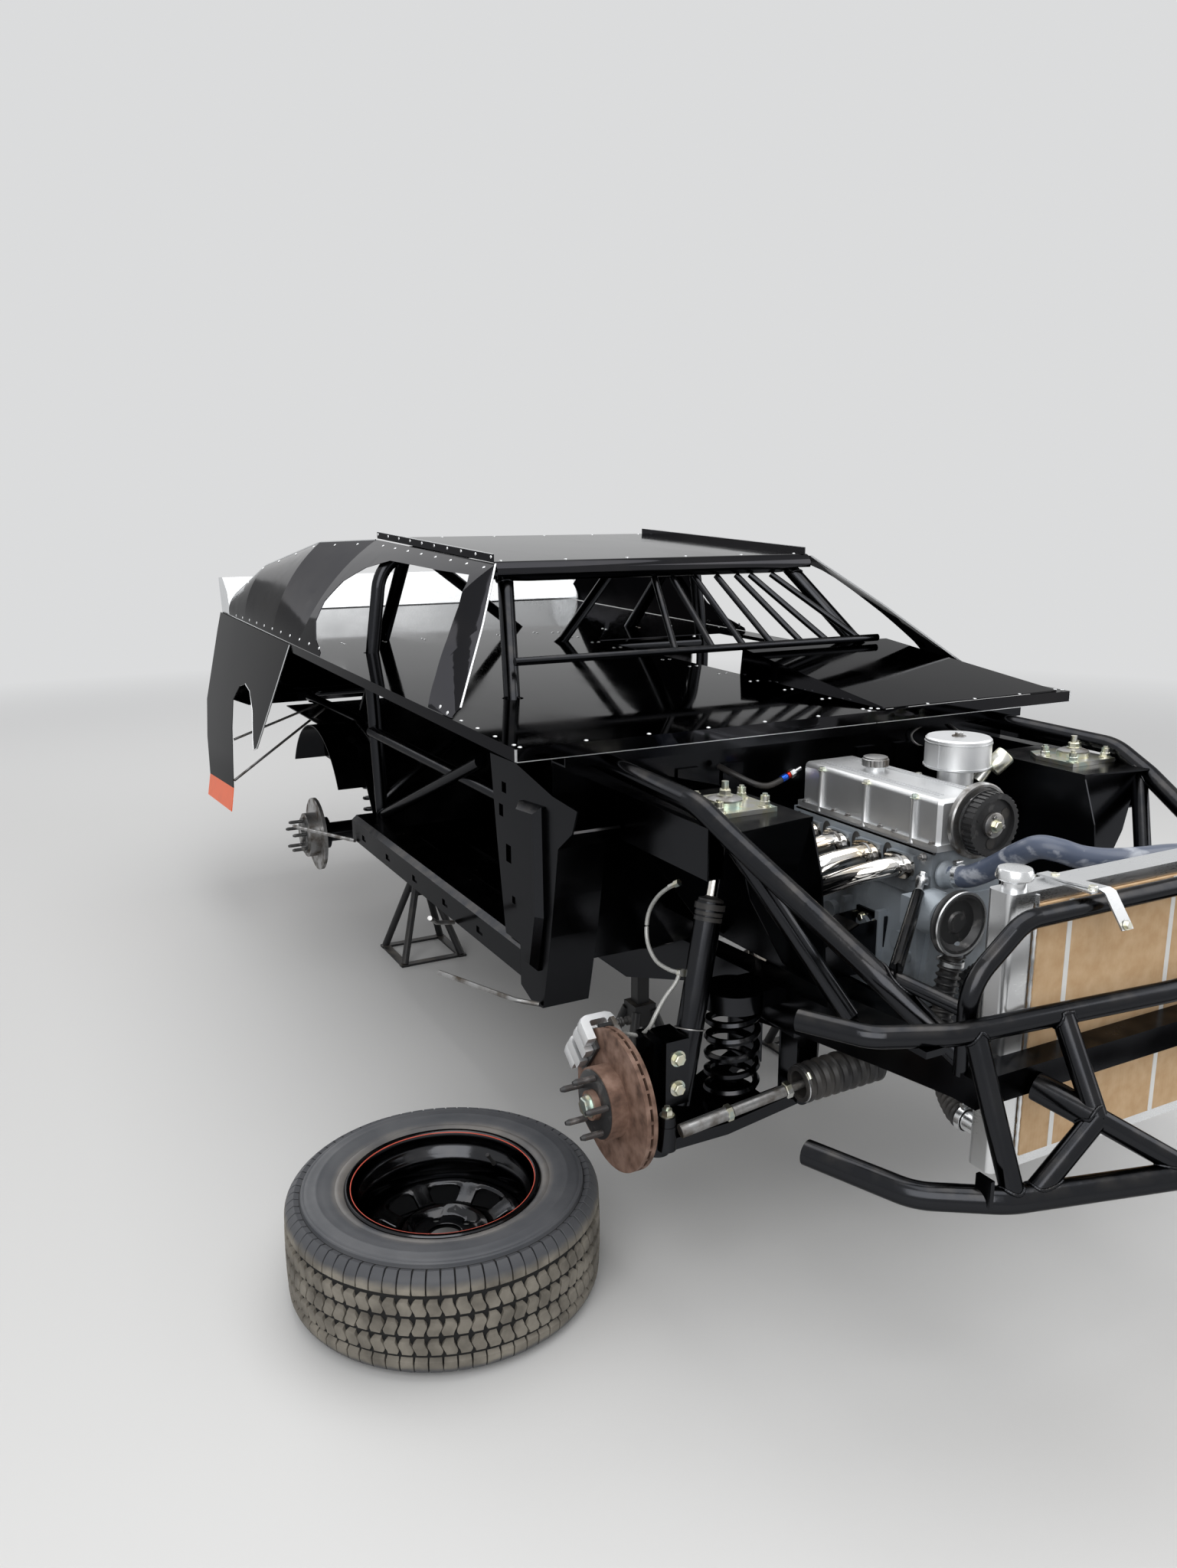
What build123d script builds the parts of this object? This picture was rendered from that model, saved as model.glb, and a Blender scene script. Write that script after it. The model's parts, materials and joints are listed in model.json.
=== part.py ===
from build123d import *
import os
from math import cos, degrees, pi, radians, sin, tan

# A four-cylinder dirt-track stock car under build. It stands on four jack stands with its
# wheels off, and one wheel lies on its side beside the right front hub. Millimetres.
# Car frame: X to the car's left, Y to its tail, Z up; front axle at Y = 0, floor at Z = 0.

# Body shell sheet and tube stock
SHEET = 3.0
PRESSING = 4.0
CAGE_D = 44.5
BAR_D = 38.0
WINDOW_BAR_D = 19.0
SEAT = 0.3

# Running gear
WHEELBASE = 2553.0
FRONT_HUB_Z = 446.0
REAR_HUB_Z = 369.0
FRONT_ROTOR_X = 779.0
REAR_ROTOR_X = 708.0
ROTOR_R = 145.0
ROTOR_T = 24.0
STUD_PCD = 114.3
STUD_D = 12.7
STUD_COUNT = 5
HUB_R = 74.0
HUB_TURN_RIGHT = 0.0
HUB_TURN_LEFT = radians(36)

# Sheet metal body
DECK_HALF = 839.0
DECK_FRONT_Y = 332.0
DECK_FRONT_Z = 1110.0
DECK_REAR_Y = 3452.0
DECK_REAR_Z = 1174.0
CABIN_REAR_Y = 2170.0
DECK_SEAM_X = 150.0
ROOF_HALF = 536.0
ROOF_FRONT_Y = 1110.0
ROOF_FRONT_Z = 1467.0
ROOF_REAR_Y = 2156.0
ROOF_REAR_Z = 1515.0
ROOF_LIP = 20.0
QUARTER_LEAN = 14.0
SPOILER_RISE = 146.0
SPOILER_RUN = 52.0

# Unibody
FIREWALL_Y = 445.0
FLOOR_Z = 500.0
SILL_X = 742.0
SILL_W = 110.0
SILL_H = 100.0
SILL_Z = 490.0
SILL_FRONT_Y = 541.6
SILL_REAR_Y = 1930.0
RAIL_X = 400.0
TOWER_X = 508.0
TOWER_Y = 33.0
TOWER_Z = 1010.0
HOOP_Y = 1904.0
HOOP_FOOT_X = 640.0

# Loose wheel
TYRE_R = 331.0
TYRE_W = 235.0
RIM_R = 205.0
LOOSE_X = -1072.0
LOOSE_Y = 225.0

# A turned or boxed form that stands on its own base
BASE = (Align.CENTER, Align.CENTER, Align.MIN)

os.makedirs("parts", exist_ok=True)


def deck_z(y):
    """Height of the deck's side edge, which climbs evenly to the tail."""
    share = (y - DECK_FRONT_Y) / (DECK_REAR_Y - DECK_FRONT_Y)
    return DECK_FRONT_Z + share * (DECK_REAR_Z - DECK_FRONT_Z)


def roof_z(y):
    """Height of the roof skin's top."""
    share = (y - ROOF_FRONT_Y) / (ROOF_REAR_Y - ROOF_FRONT_Y)
    return ROOF_FRONT_Z + share * (ROOF_REAR_Z - ROOF_FRONT_Z)


def mirrored(shape):
    return mirror(shape, about=Plane.YZ)


def both(shape):
    """The right-hand piece and its left-hand twin, as two solids."""
    return Compound([shape, mirrored(shape)])


def join(shapes):
    """One solid from pieces that meet."""
    first, rest = shapes[0], shapes[1:]
    return first.fuse(*rest).clean() if rest else first


def bar(a, b, diameter):
    """Round bar from a to b."""
    a, b = Vector(a), Vector(b)
    plane = Plane(origin=a, z_dir=b - a)
    return extrude(plane * Circle(diameter / 2), (b - a).length)


def tube(points, diameter, bend):
    """Bent round tube through the points, with one bend radius or a list of them."""
    if len(points) == 2:
        return bar(points[0], points[1], diameter)
    path = FilletPolyline(*points, radius=bend)
    plane = Plane(origin=path @ 0, z_dir=path % 0)
    return sweep(plane * Circle(diameter / 2), path=path)


def box(x0, x1, y0, y1, z0, z1):
    return Pos((x0 + x1) / 2, (y0 + y1) / 2, (z0 + z1) / 2) * Box(x1 - x0, y1 - y0, z1 - z0)


def side_plate(outline, x0, x1):
    """Plate cut to an outline in Y and Z, from x0 to x1."""
    plane = Plane(origin=(x0, 0, 0), x_dir=(0, 1, 0), z_dir=(1, 0, 0))
    return extrude(plane * make_face(Polyline(*outline, close=True)), x1 - x0)


def flat_plate(outline, z0, z1):
    """Plate cut to an outline in X and Y, from z0 to z1."""
    return extrude(Pos(0, 0, z0) * make_face(Polyline(*outline, close=True)), z1 - z0)


def turned(profile, centre, axis):
    """Solid turned from a closed profile of (radius, along) about an axis through centre."""
    face = make_face(Polyline(*[(r, 0, h) for r, h in profile], close=True))
    body = revolve(face, Axis.Z, 360)
    return Plane(origin=centre, z_dir=axis).location * body


def ring(radius, count, start=0.0):
    """Angles and places round a circle in the X-Y plane."""
    for i in range(count):
        a = start + 2 * pi * i / count
        yield degrees(a), radius * cos(a), radius * sin(a)


# Floor pan: flat floor, tunnel, toe board, kick-up over the rear axle, wheel tubs
TUNNEL_HALF = 150.0
TUNNEL_H = 210.0
KICK_Y = 2010.0
KICK_Z = 770.0
TRUNK_END_Y = 3250.0
TUB_R = 360.0
TUB_IN = 570.0
TUB_OUT = 700.0


def tunnel_outline(inset):
    """Cross-section of the tunnel ridge, set in from its outer face."""
    half = TUNNEL_HALF - inset
    foot = FLOOR_Z - inset
    top = foot + TUNNEL_H
    return [(-half, foot), (-half + 45, top), (half - 45, top), (half, foot)]


def floor_pan():
    inner_x = SILL_X - SILL_W
    profile = [
        (FIREWALL_Y, FLOOR_Z + 90), (FIREWALL_Y + 170, FLOOR_Z), (KICK_Y, FLOOR_Z),
        (KICK_Y + 190, KICK_Z), (TRUNK_END_Y, KICK_Z),
    ]
    top = [(y, z + PRESSING) for y, z in reversed(profile)]
    floor = side_plate(profile + top, -inner_x, inner_x)
    front = Plane(origin=(0, KICK_Y + 60, 0), x_dir=(1, 0, 0), z_dir=(0, -1, 0))
    ridge, middle, hollow = (
        extrude(front * make_face(Polyline(*tunnel_outline(inset), close=True)), KICK_Y + 60 - FIREWALL_Y)
        for inset in (0, PRESSING / 2, PRESSING))
    pan = floor.cut(middle).fuse(ridge.cut(hollow))
    ribs = [box(x - 14, x + 14, 760, 1860, FLOOR_Z + PRESSING, FLOOR_Z + PRESSING + 6)
            for x in (-520, -400, -280, 280, 400, 520)]
    return join([pan] + ribs + [wheel_tub(), mirrored(wheel_tub())])


def wheel_tub():
    """Inner rear wheelhouse: an arched skin with an upright inner wall."""
    def drum(radius, x0, x1):
        return Plane(origin=(x0, WHEELBASE, REAR_HUB_Z + 70), z_dir=(1, 0, 0)).location * (
            Cylinder(radius, x1 - x0, align=BASE))
    skin = drum(TUB_R, -TUB_OUT, -TUB_IN).cut(drum(TUB_R - PRESSING, -TUB_OUT - 1, -TUB_IN - PRESSING))
    below = box(-TUB_OUT - 5, -TUB_IN + 5, WHEELBASE - TUB_R - 5, WHEELBASE + TUB_R + 5, 0, KICK_Z - 160)
    return skin.cut(below)


# Firewall: upright sheet from the toe board to the deck, with a cowl step and clutch hole
def firewall():
    wall = box(-700, 700, FIREWALL_Y - PRESSING, FIREWALL_Y, FLOOR_Z + 60, DECK_FRONT_Z - 20)
    cowl = box(-700, 700, FIREWALL_Y - 70, FIREWALL_Y, DECK_FRONT_Z - 60, DECK_FRONT_Z - 60 + PRESSING)
    lip = box(-700, 700, FIREWALL_Y - 70, FIREWALL_Y - 70 + PRESSING, DECK_FRONT_Z - 60, DECK_FRONT_Z - 32)
    ribs = [box(x - 30, x + 30, FIREWALL_Y - PRESSING - 8, FIREWALL_Y - PRESSING, 700, 1000)
            for x in (-340, -210, 210, 340)]
    wall = wall.cut(box(-TUNNEL_HALF + 35, TUNNEL_HALF - 35, FIREWALL_Y - 20, FIREWALL_Y + 5,
                        FLOOR_Z + 40, FLOOR_Z + TUNNEL_H + 10))
    return join([wall, cowl, lip] + ribs)


# Sills: folded box rails along each side under the door openings
def sill():
    outline = [
        (-SILL_X, SILL_Z + 18), (-SILL_X, SILL_Z + SILL_H - 14), (-SILL_X + 16, SILL_Z + SILL_H),
        (-SILL_X + SILL_W - SEAT, SILL_Z + SILL_H), (-SILL_X + SILL_W - SEAT, SILL_Z + 12),
        (-SILL_X + 60, SILL_Z), (-SILL_X + 60, SILL_Z - 22), (-SILL_X + 56, SILL_Z - 22),
        (-SILL_X + 56, SILL_Z),
    ]
    plane = Plane(origin=(0, SILL_REAR_Y, 0), x_dir=(1, 0, 0), z_dir=(0, -1, 0))
    rail = extrude(plane * make_face(Polyline(*outline, close=True)), SILL_REAR_Y - SILL_FRONT_Y)
    slots = [box(-SILL_X - 1, -SILL_X + 4, y - 20, y + 20, SILL_Z + 40, SILL_Z + 58)
             for y in range(800, 1900, 250)]
    return rail.cut(*slots)


# Hinge pillars: pressed posts ahead of the door openings, with a kick panel turned inboard
PILLAR_REAR_Y = 700.0
PILLAR_TOP_Z = 1030.0


def hinge_pillar():
    flank = [
        (PILLAR_REAR_Y, PILLAR_TOP_Z), (548, PILLAR_TOP_Z + 2), (355, 994), (237, 986), (262, 930),
        (330, 880), (352, 760), (372, 660), (395, 560), (418, 471), (470, 462), (541, 486),
        (541, SILL_Z + SILL_H + SEAT), (626, SILL_Z + SILL_H + SEAT), (668, 820),
    ]
    skin = side_plate(flank, -SILL_X, -SILL_X + PRESSING)
    door_face = side_plate([(541, SILL_Z + SILL_H + SEAT), (626, SILL_Z + SILL_H + SEAT), (668, 820),
                            (PILLAR_REAR_Y, PILLAR_TOP_Z), (548, PILLAR_TOP_Z + 2)],
                           -SILL_X + PRESSING, -SILL_X + 70)
    bulge = side_plate([(400, 960), (520, 950), (525, 700), (500, 560), (430, 560), (395, 700)],
                       -SILL_X - 22, -SILL_X)
    bulge = chamfer(bulge.faces().sort_by(Axis.X)[0].edges(), 16)
    inner = side_plate([(262, 930), (330, 880), (352, 760), (372, 660), (395, 560), (418, 471),
                        (424, 471), (401, 560), (378, 660), (358, 760), (336, 884), (268, 934)],
                       -SILL_X + PRESSING, -SILL_X + 120)
    body = join([skin, door_face, bulge, inner])
    holes = []
    for y, z, ry, rz in ((620, 960, 26, 26), (640, 900, 24, 30), (600, 800, 30, 44), (575, 690, 18, 18)):
        holes.append(box(-SILL_X - 5, -SILL_X + 12, y - ry / 2, y + ry / 2, z - rz / 2, z + rz / 2))
    return body.cut(*holes)


# Aprons: inner front wings with the strut towers
APRON_FLANGE_Z = 900.0
TOWER_HALF = 118.0
TOWER_FRONT_Y = -130.0
TOWER_BACK_Y = 195.0


def apron():
    xin, xout = -TOWER_X + TOWER_HALF, -TOWER_X - TOWER_HALF + 20
    cap = flat_plate([(xin, TOWER_FRONT_Y + 30), (xout + 30, TOWER_FRONT_Y), (xout, TOWER_FRONT_Y + 40),
                      (xout, TOWER_BACK_Y), (xin, TOWER_BACK_Y)], TOWER_Z - PRESSING, TOWER_Z)
    cap = cap.cut(Pos(-TOWER_X, TOWER_Y, TOWER_Z) * Cylinder(52, 40))
    back_y = FIREWALL_Y - PRESSING - SEAT
    inner_wall = side_plate([(TOWER_FRONT_Y + 30, TOWER_Z), (TOWER_BACK_Y, TOWER_Z), (back_y, 985), (back_y, 655),
                             (TOWER_FRONT_Y - 40, 665), (TOWER_FRONT_Y - 10, APRON_FLANGE_Z)],
                            xin - PRESSING, xin)
    front_wall = Plane(origin=(0, TOWER_FRONT_Y + 30, 0), x_dir=(1, 0, 0), z_dir=(0, -1, 0)) * make_face(
        Polyline((xin, TOWER_Z), (xout + 30, TOWER_Z), (xout + 70, 860), (xin - 60, 710), (xin, 665), close=True))
    back_wall = Plane(origin=(0, TOWER_BACK_Y, 0), x_dir=(1, 0, 0), z_dir=(0, -1, 0)) * make_face(
        Polyline((xin, TOWER_Z), (xout, TOWER_Z), (xout, APRON_FLANGE_Z), (xin - 80, 720), (xin, 665), close=True))
    rail = box(xout - 10, xout + 28, TOWER_FRONT_Y + 60, back_y, APRON_FLANGE_Z, TOWER_Z - PRESSING)
    rail = rail.cut(box(xout - 6, xout + 24, TOWER_FRONT_Y + 50, FIREWALL_Y, 904, TOWER_Z - PRESSING - 4))
    shelf = flat_plate([(xin, TOWER_BACK_Y), (xout, TOWER_BACK_Y), (xout, back_y), (xin, back_y)],
                       980, 980 + PRESSING)
    return join([cap, inner_wall, extrude(front_wall, PRESSING), extrude(back_wall, PRESSING), rail, shelf])


# Frame rails: front box rails, engine crossmember, nose crossmember and rear rails
RAIL_W = 70.0
NOSE_Y = -620.0
NOSE_HALF = 470.0
NOSE_TOP_Z = 700.0


def frame_rails():
    parts = []
    for s in (-1, 1):
        x0, x1 = sorted((s * (RAIL_X - RAIL_W / 2), s * (RAIL_X + RAIL_W / 2)))
        front = [(820, 436), (820, FLOOR_Z - 4), (FIREWALL_Y + 165, FLOOR_Z - 4), (FIREWALL_Y - 8, 556), (300, 625),
                 (-100, 648), (-370, 672), (NOSE_Y + 24, NOSE_TOP_Z), (NOSE_Y + 24, 630), (-370, 600),
                 (-100, 560), (250, 540), (FIREWALL_Y + 120, 436)]
        parts.append(side_plate(front, x0, x1))
        rear = [(KICK_Y - 120, FLOOR_Z - SEAT), (KICK_Y + 20, FLOOR_Z - SEAT), (KICK_Y + 190, KICK_Z - SEAT - 20),
                (KICK_Y + 196, KICK_Z - SEAT), (TRUNK_END_Y, KICK_Z - SEAT), (TRUNK_END_Y, KICK_Z - 70),
                (KICK_Y + 230, KICK_Z - 70), (KICK_Y + 60, 440), (KICK_Y - 120, 430)]
        x0, x1 = sorted((s * (RAIL_X + 60 - RAIL_W / 2), s * (RAIL_X + 60 + RAIL_W / 2)))
        parts.append(side_plate(rear, x0, x1))
    nose = box(-NOSE_HALF, NOSE_HALF, NOSE_Y - 25, NOSE_Y + 25, NOSE_TOP_Z - 50, NOSE_TOP_Z)
    member = flat_plate([(-RAIL_X - 30, 110), (RAIL_X + 30, 110), (RAIL_X - 60, -130), (300, -196),
                         (-300, -196), (-RAIL_X + 60, -130)], 516, 556)
    member = member.cut(bar((150, RACK_Y + 14, RACK_Z - 34), (150, RACK_Y + 30, RACK_Z + 96), 58))
    legs = [box(s * RAIL_X - 30, s * RAIL_X + 30, -120, 100, 550, 600) for s in (-1, 1)]
    for s in (-1, 1):
        # Spring pockets and the brackets that hold the lower arms
        pocket = Pos(s * SPRING_X, SPRING_Y, 597 + SEAT) * Cylinder(
            SPRING_D / 2 + 4, 40, align=BASE)
        legs += [pocket, box(min(s * 420, s * 500), max(s * 420, s * 500), -60, 40, 600, 636)]
        for y in ARM_PIVOTS_Y:
            legs.append(box(s * ARM_INNER_X - 24, s * ARM_INNER_X + 24, y - 34, y - 28, 384, 530))
            legs.append(box(s * ARM_INNER_X - 24, s * ARM_INNER_X + 24, y + 28, y + 34, 384, 530))
            legs.append(box(s * ARM_INNER_X - 24, s * ARM_INNER_X + 24, y - 34, y + 34, 524, 556))
    return Compound([join(parts[0::2] + [nose, member] + legs), parts[1], parts[3]])


# Roll cage
ROOF_BAR_DROP = 34.0
APOST_FOOT = {-1: (-589.0, 901.0), 1: (690.0, 850.0)}
APOST_TOP_X = 495.0
REAR_BAR_X = 540.0


def cage_top_z(y):
    return roof_z(y) - ROOF_BAR_DROP


def roll_cage():
    hoop_top = cage_top_z(HOOP_Y)
    foot_z = SILL_Z + SILL_H
    hoop = tube([(-HOOP_FOOT_X, HOOP_Y, foot_z), (-HOOP_FOOT_X - 20, HOOP_Y, 1080), (-606, HOOP_Y, hoop_top),
                 (606, HOOP_Y, hoop_top), (HOOP_FOOT_X + 20, HOOP_Y, 1080), (HOOP_FOOT_X, HOOP_Y, foot_z)],
                CAGE_D, [600, 130, 130, 600])
    front_y = ROOF_FRONT_Y + 28
    front_z = cage_top_z(front_y)
    halo = tube([(-520, HOOP_Y, hoop_top), (-500, front_y, front_z), (500, front_y, front_z),
                 (520, HOOP_Y, hoop_top)], CAGE_D, [90, 90])
    parts = [hoop, halo]
    for s in (-1, 1):
        fx, fy = APOST_FOOT[s]
        parts.append(tube([(s * 640, 640, foot_z), (fx, fy, 1060), (s * (APOST_TOP_X - 8), front_y + 30, front_z)],
                          CAGE_D, 120))
        # Rear down bars, rear rails and tail hoop
        parts.append(bar((s * 528, HOOP_Y, hoop_top - 20), (s * 500, 2520, 850), CAGE_D))
        parts.append(bar((s * 655, HOOP_Y, 845), (s * REAR_BAR_X, 2480, 820), BAR_D))
        parts.append(tube([(s * REAR_BAR_X, 2440, 820), (s * REAR_BAR_X, 3200, 812), (s * 500, 3330, 812),
                           (0, 3330, 812)], BAR_D, [90, 60]))
        parts.append(bar((s * 460, 3160, KICK_Z), (s * REAR_BAR_X, 3180, 812), BAR_D))
        parts.append(bar((s * 460, 2560, KICK_Z), (s * REAR_BAR_X, 2560, 820), BAR_D))
        # Door bars
        parts.append(bar((s * 648, 986, 945), (s * 642, 1860, 600), BAR_D))
    right_door = [
        ((-620, 800, 860), (-665, HOOP_Y, 880)),
    ]
    left_door = [((636, 740, z), (662, HOOP_Y, z)) for z in (720, 830, 940)]
    for a, b in right_door + left_door:
        parts.append(bar(a, b, BAR_D))
    # Diagonals of the main hoop and the cross bar behind the seat place
    parts.append(bar((-431, HOOP_Y, 1440), (150, 2430, 1120), BAR_D))
    parts.append(bar((300, HOOP_Y, 1440), (60, HOOP_Y, 1150), BAR_D))
    parts.append(bar((-655, HOOP_Y, 1112), (655, HOOP_Y, 1112), BAR_D))
    parts.append(bar((60, HOOP_Y, 1150), (-630, HOOP_Y, 640), BAR_D))
    parts.append(bar((-580, 1284, 1096), (-240, HOOP_Y, 1112), BAR_D))
    parts.append(bar((150, 2430, 1120), (150, 2560, KICK_Z), BAR_D))
    return join(parts)


# Windshield bars: seven thin bars between the halo and a bar across the A-posts
WINDOW_TOPS = (-20.0, 41.0, 119.0, 199.0, 272.0, 323.0, 402.0)
WINDOW_FEET = (-68.0, 60.0, 169.0, 271.0, 379.0, 475.0, 600.0)
DASH_Y = 936.0
DASH_Z = 1215.0


def windshield_bars():
    parts = [bar((-566, DASH_Y, DASH_Z), (672, DASH_Y, DASH_Z), WINDOW_BAR_D + 3)]
    top_y = ROOF_FRONT_Y + 24
    for top, foot in zip(WINDOW_TOPS, WINDOW_FEET):
        parts.append(bar((foot, DASH_Y, DASH_Z), (top, top_y, 1409), WINDOW_BAR_D))
    return join(parts)


# Front hoops: wing tubes, their cross tubes and the radiator hoop
def front_hoops():
    parts = []
    for s in (-1, 1):
        wing = [(s * 590, FIREWALL_Y - PRESSING - SEAT, 1050), (s * 602, -10, 1040), (s * 590, -120, 992),
                (s * 520, -457, 824), (s * 430, NOSE_Y + 10, NOSE_TOP_Z - 8)]
        parts.append(tube(wing, CAGE_D, [160, 160, 200]))
        parts.append(bar((s * 590, -90, 1004), (s * 425, -280, 660), BAR_D))
        parts.append(bar((s * 524, -420, 838), (s * 452, -600, 800), BAR_D - 12))
    hoop = [(-455, -600, NOSE_TOP_Z - 8), (-455, -600, 850), (-340, -600, 940), (340, -600, 940),
            (455, -600, 850), (455, -600, NOSE_TOP_Z - 8)]
    parts.append(tube(hoop, BAR_D - 4, [90, 80, 80, 90]))
    return join(parts)


# Bumper: two bowed tubes, upright posts and the tie-down receiver
UPPER_Z = 790.0
LOWER_Z = 540.0


def bumper():
    upper = [(-700, -472, UPPER_Z), (-640, -580, UPPER_Z), (-520, -636, UPPER_Z), (0, -690, UPPER_Z),
             (520, -636, UPPER_Z), (640, -580, UPPER_Z), (700, -472, UPPER_Z)]
    lower = [(-670, -470, LOWER_Z), (-600, -655, LOWER_Z), (-480, -735, LOWER_Z), (0, -862, LOWER_Z),
             (480, -735, LOWER_Z), (600, -655, LOWER_Z), (670, -470, LOWER_Z)]
    parts = [tube(upper, BAR_D, [60, 120, 900, 120, 60]), tube(lower, CAGE_D, [90, 150, 700, 150, 90])]
    for s in (-1, 1):
        parts.append(bar((s * 480, -640, UPPER_Z), (s * 470, -738, LOWER_Z), BAR_D))
        parts.append(bar((s * 305, -662, UPPER_Z), (s * 300, -742, 640), BAR_D))
        parts.append(bar((s * 300, -742, 640), (s * 440, -745, LOWER_Z), BAR_D))
        parts.append(bar((s * 300, -742, 640), (s * 150, -822, LOWER_Z), BAR_D))
        parts.append(bar((s * 331, NOSE_Y - 25, 660), (s * 302, -740, 641), BAR_D + 12))
        parts.append(box(s * 560 - 20, s * 560 + 20, -640, -590, UPPER_Z - 26, UPPER_Z - 14))
        parts.append(side_plate([(-738, LOWER_Z), (-706, LOWER_Z), (-706, LOWER_Z + 46), (-738, LOWER_Z + 46)],
                                s * 520 - 4, s * 520 + 4))
    body = join(parts)
    for s in (-1, 1):
        body = body.cut(bar((s * 700, -472, UPPER_Z), (s * 672, -522, UPPER_Z), BAR_D - 6))
        body = body.cut(bar((s * 670, -470, LOWER_Z), (s * 648, -530, LOWER_Z), CAGE_D - 6))
    return body


# Decks: folded sheets level with the door tops
DECK_FLANGE = 26.0
COCKPIT = (190.0, 760.0, 985.0, 1870.0)
HUMP_RISE = 78.0
HUMP_X = (185.0, 800.0)


def deck_sheet(x0, x1, y0, y1):
    outline = [(y0, deck_z(y0)), (y1, deck_z(y1)), (y1, deck_z(y1) + SHEET), (y0, deck_z(y0) + SHEET)]
    return side_plate(outline, x0, x1)


def side_flange(x0, x1, y0, y1):
    outline = [(y0, deck_z(y0) + SHEET), (y1, deck_z(y1) + SHEET), (y1, deck_z(y1) - DECK_FLANGE),
               (y0, deck_z(y0) - DECK_FLANGE)]
    return side_plate(outline, x0, x1)


def front_flange(x0, x1):
    return box(x0, x1, DECK_FRONT_Y, DECK_FRONT_Y + SHEET, DECK_FRONT_Z - DECK_FLANGE, DECK_FRONT_Z + 1)


def deck_right():
    sheet = deck_sheet(-DECK_HALF, DECK_SEAM_X - SEAT / 2, DECK_FRONT_Y, CABIN_REAR_Y - SEAT)
    rib = side_plate([(FIREWALL_Y, deck_z(FIREWALL_Y)), (FIREWALL_Y, deck_z(FIREWALL_Y) - 20),
                      (CABIN_REAR_Y - 10, deck_z(CABIN_REAR_Y - 10) - 20), (CABIN_REAR_Y - 10, deck_z(CABIN_REAR_Y - 10))],
                     DECK_SEAM_X - 24, DECK_SEAM_X - 20)
    body = join([sheet, side_flange(-DECK_HALF, -DECK_HALF + SHEET, DECK_FRONT_Y, CABIN_REAR_Y - SEAT),
                 front_flange(-DECK_HALF, DECK_SEAM_X - SEAT / 2), rib])
    return body.cut(*deck_holes())


def deck_holes():
    """Clearance holes where cage tubes pass through the decks."""
    holes = []
    for s in (-1, 1):
        holes.append(Pos(s * (HOOP_FOOT_X + 18), HOOP_Y, 1140) * Cylinder(CAGE_D / 2 + SEAT, 80))
        fx, fy = APOST_FOOT[s]
        holes.append(Pos(fx, fy, 1120) * Cylinder(CAGE_D / 2 + 6, 80))
    return holes


def deck_left():
    x0, x1, y0, y1 = COCKPIT
    sheet = deck_sheet(DECK_SEAM_X + SEAT / 2, DECK_HALF, DECK_FRONT_Y, CABIN_REAR_Y - SEAT)
    sheet = sheet.cut(box(x0, x1, y0, y1, 1000, 1300))
    under_hump = hump_form(SHEET)
    body = join([sheet.cut(under_hump), hump_form(0.0).cut(under_hump),
                 side_flange(DECK_HALF - SHEET, DECK_HALF, DECK_FRONT_Y, CABIN_REAR_Y - SEAT),
                 front_flange(DECK_SEAM_X + SEAT / 2, DECK_HALF)])
    return body.cut(*deck_holes())


def hump_form(inset):
    """Wedge over the driver's legs that rises from the deck's front edge to the dash bar."""
    sections = []
    for y, rise in ((DECK_FRONT_Y + 12, 4.0), (COCKPIT[2] - 8, HUMP_RISE)):
        base = deck_z(y) - 3 * inset
        top = deck_z(y) + SHEET + rise - inset
        slope = 0.7 * rise
        low, high = HUMP_X[0] + inset, HUMP_X[1] - inset
        plane = Plane(origin=(0, y, 0), x_dir=(1, 0, 0), z_dir=(0, -1, 0))
        sections.append(plane * make_face(Polyline(
            (low, base), (low + 0.1 * rise, top), (high - slope, top), (high, base), close=True)))
    return loft(sections, ruled=True)


def deck_rear():
    sheet = deck_sheet(-DECK_HALF, DECK_HALF, CABIN_REAR_Y, DECK_REAR_Y)
    sides = [side_flange(s * DECK_HALF - (SHEET if s > 0 else 0), s * DECK_HALF + (SHEET if s < 0 else 0),
                         CABIN_REAR_Y, DECK_REAR_Y) for s in (-1, 1)]
    return join([sheet] + sides)


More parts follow.
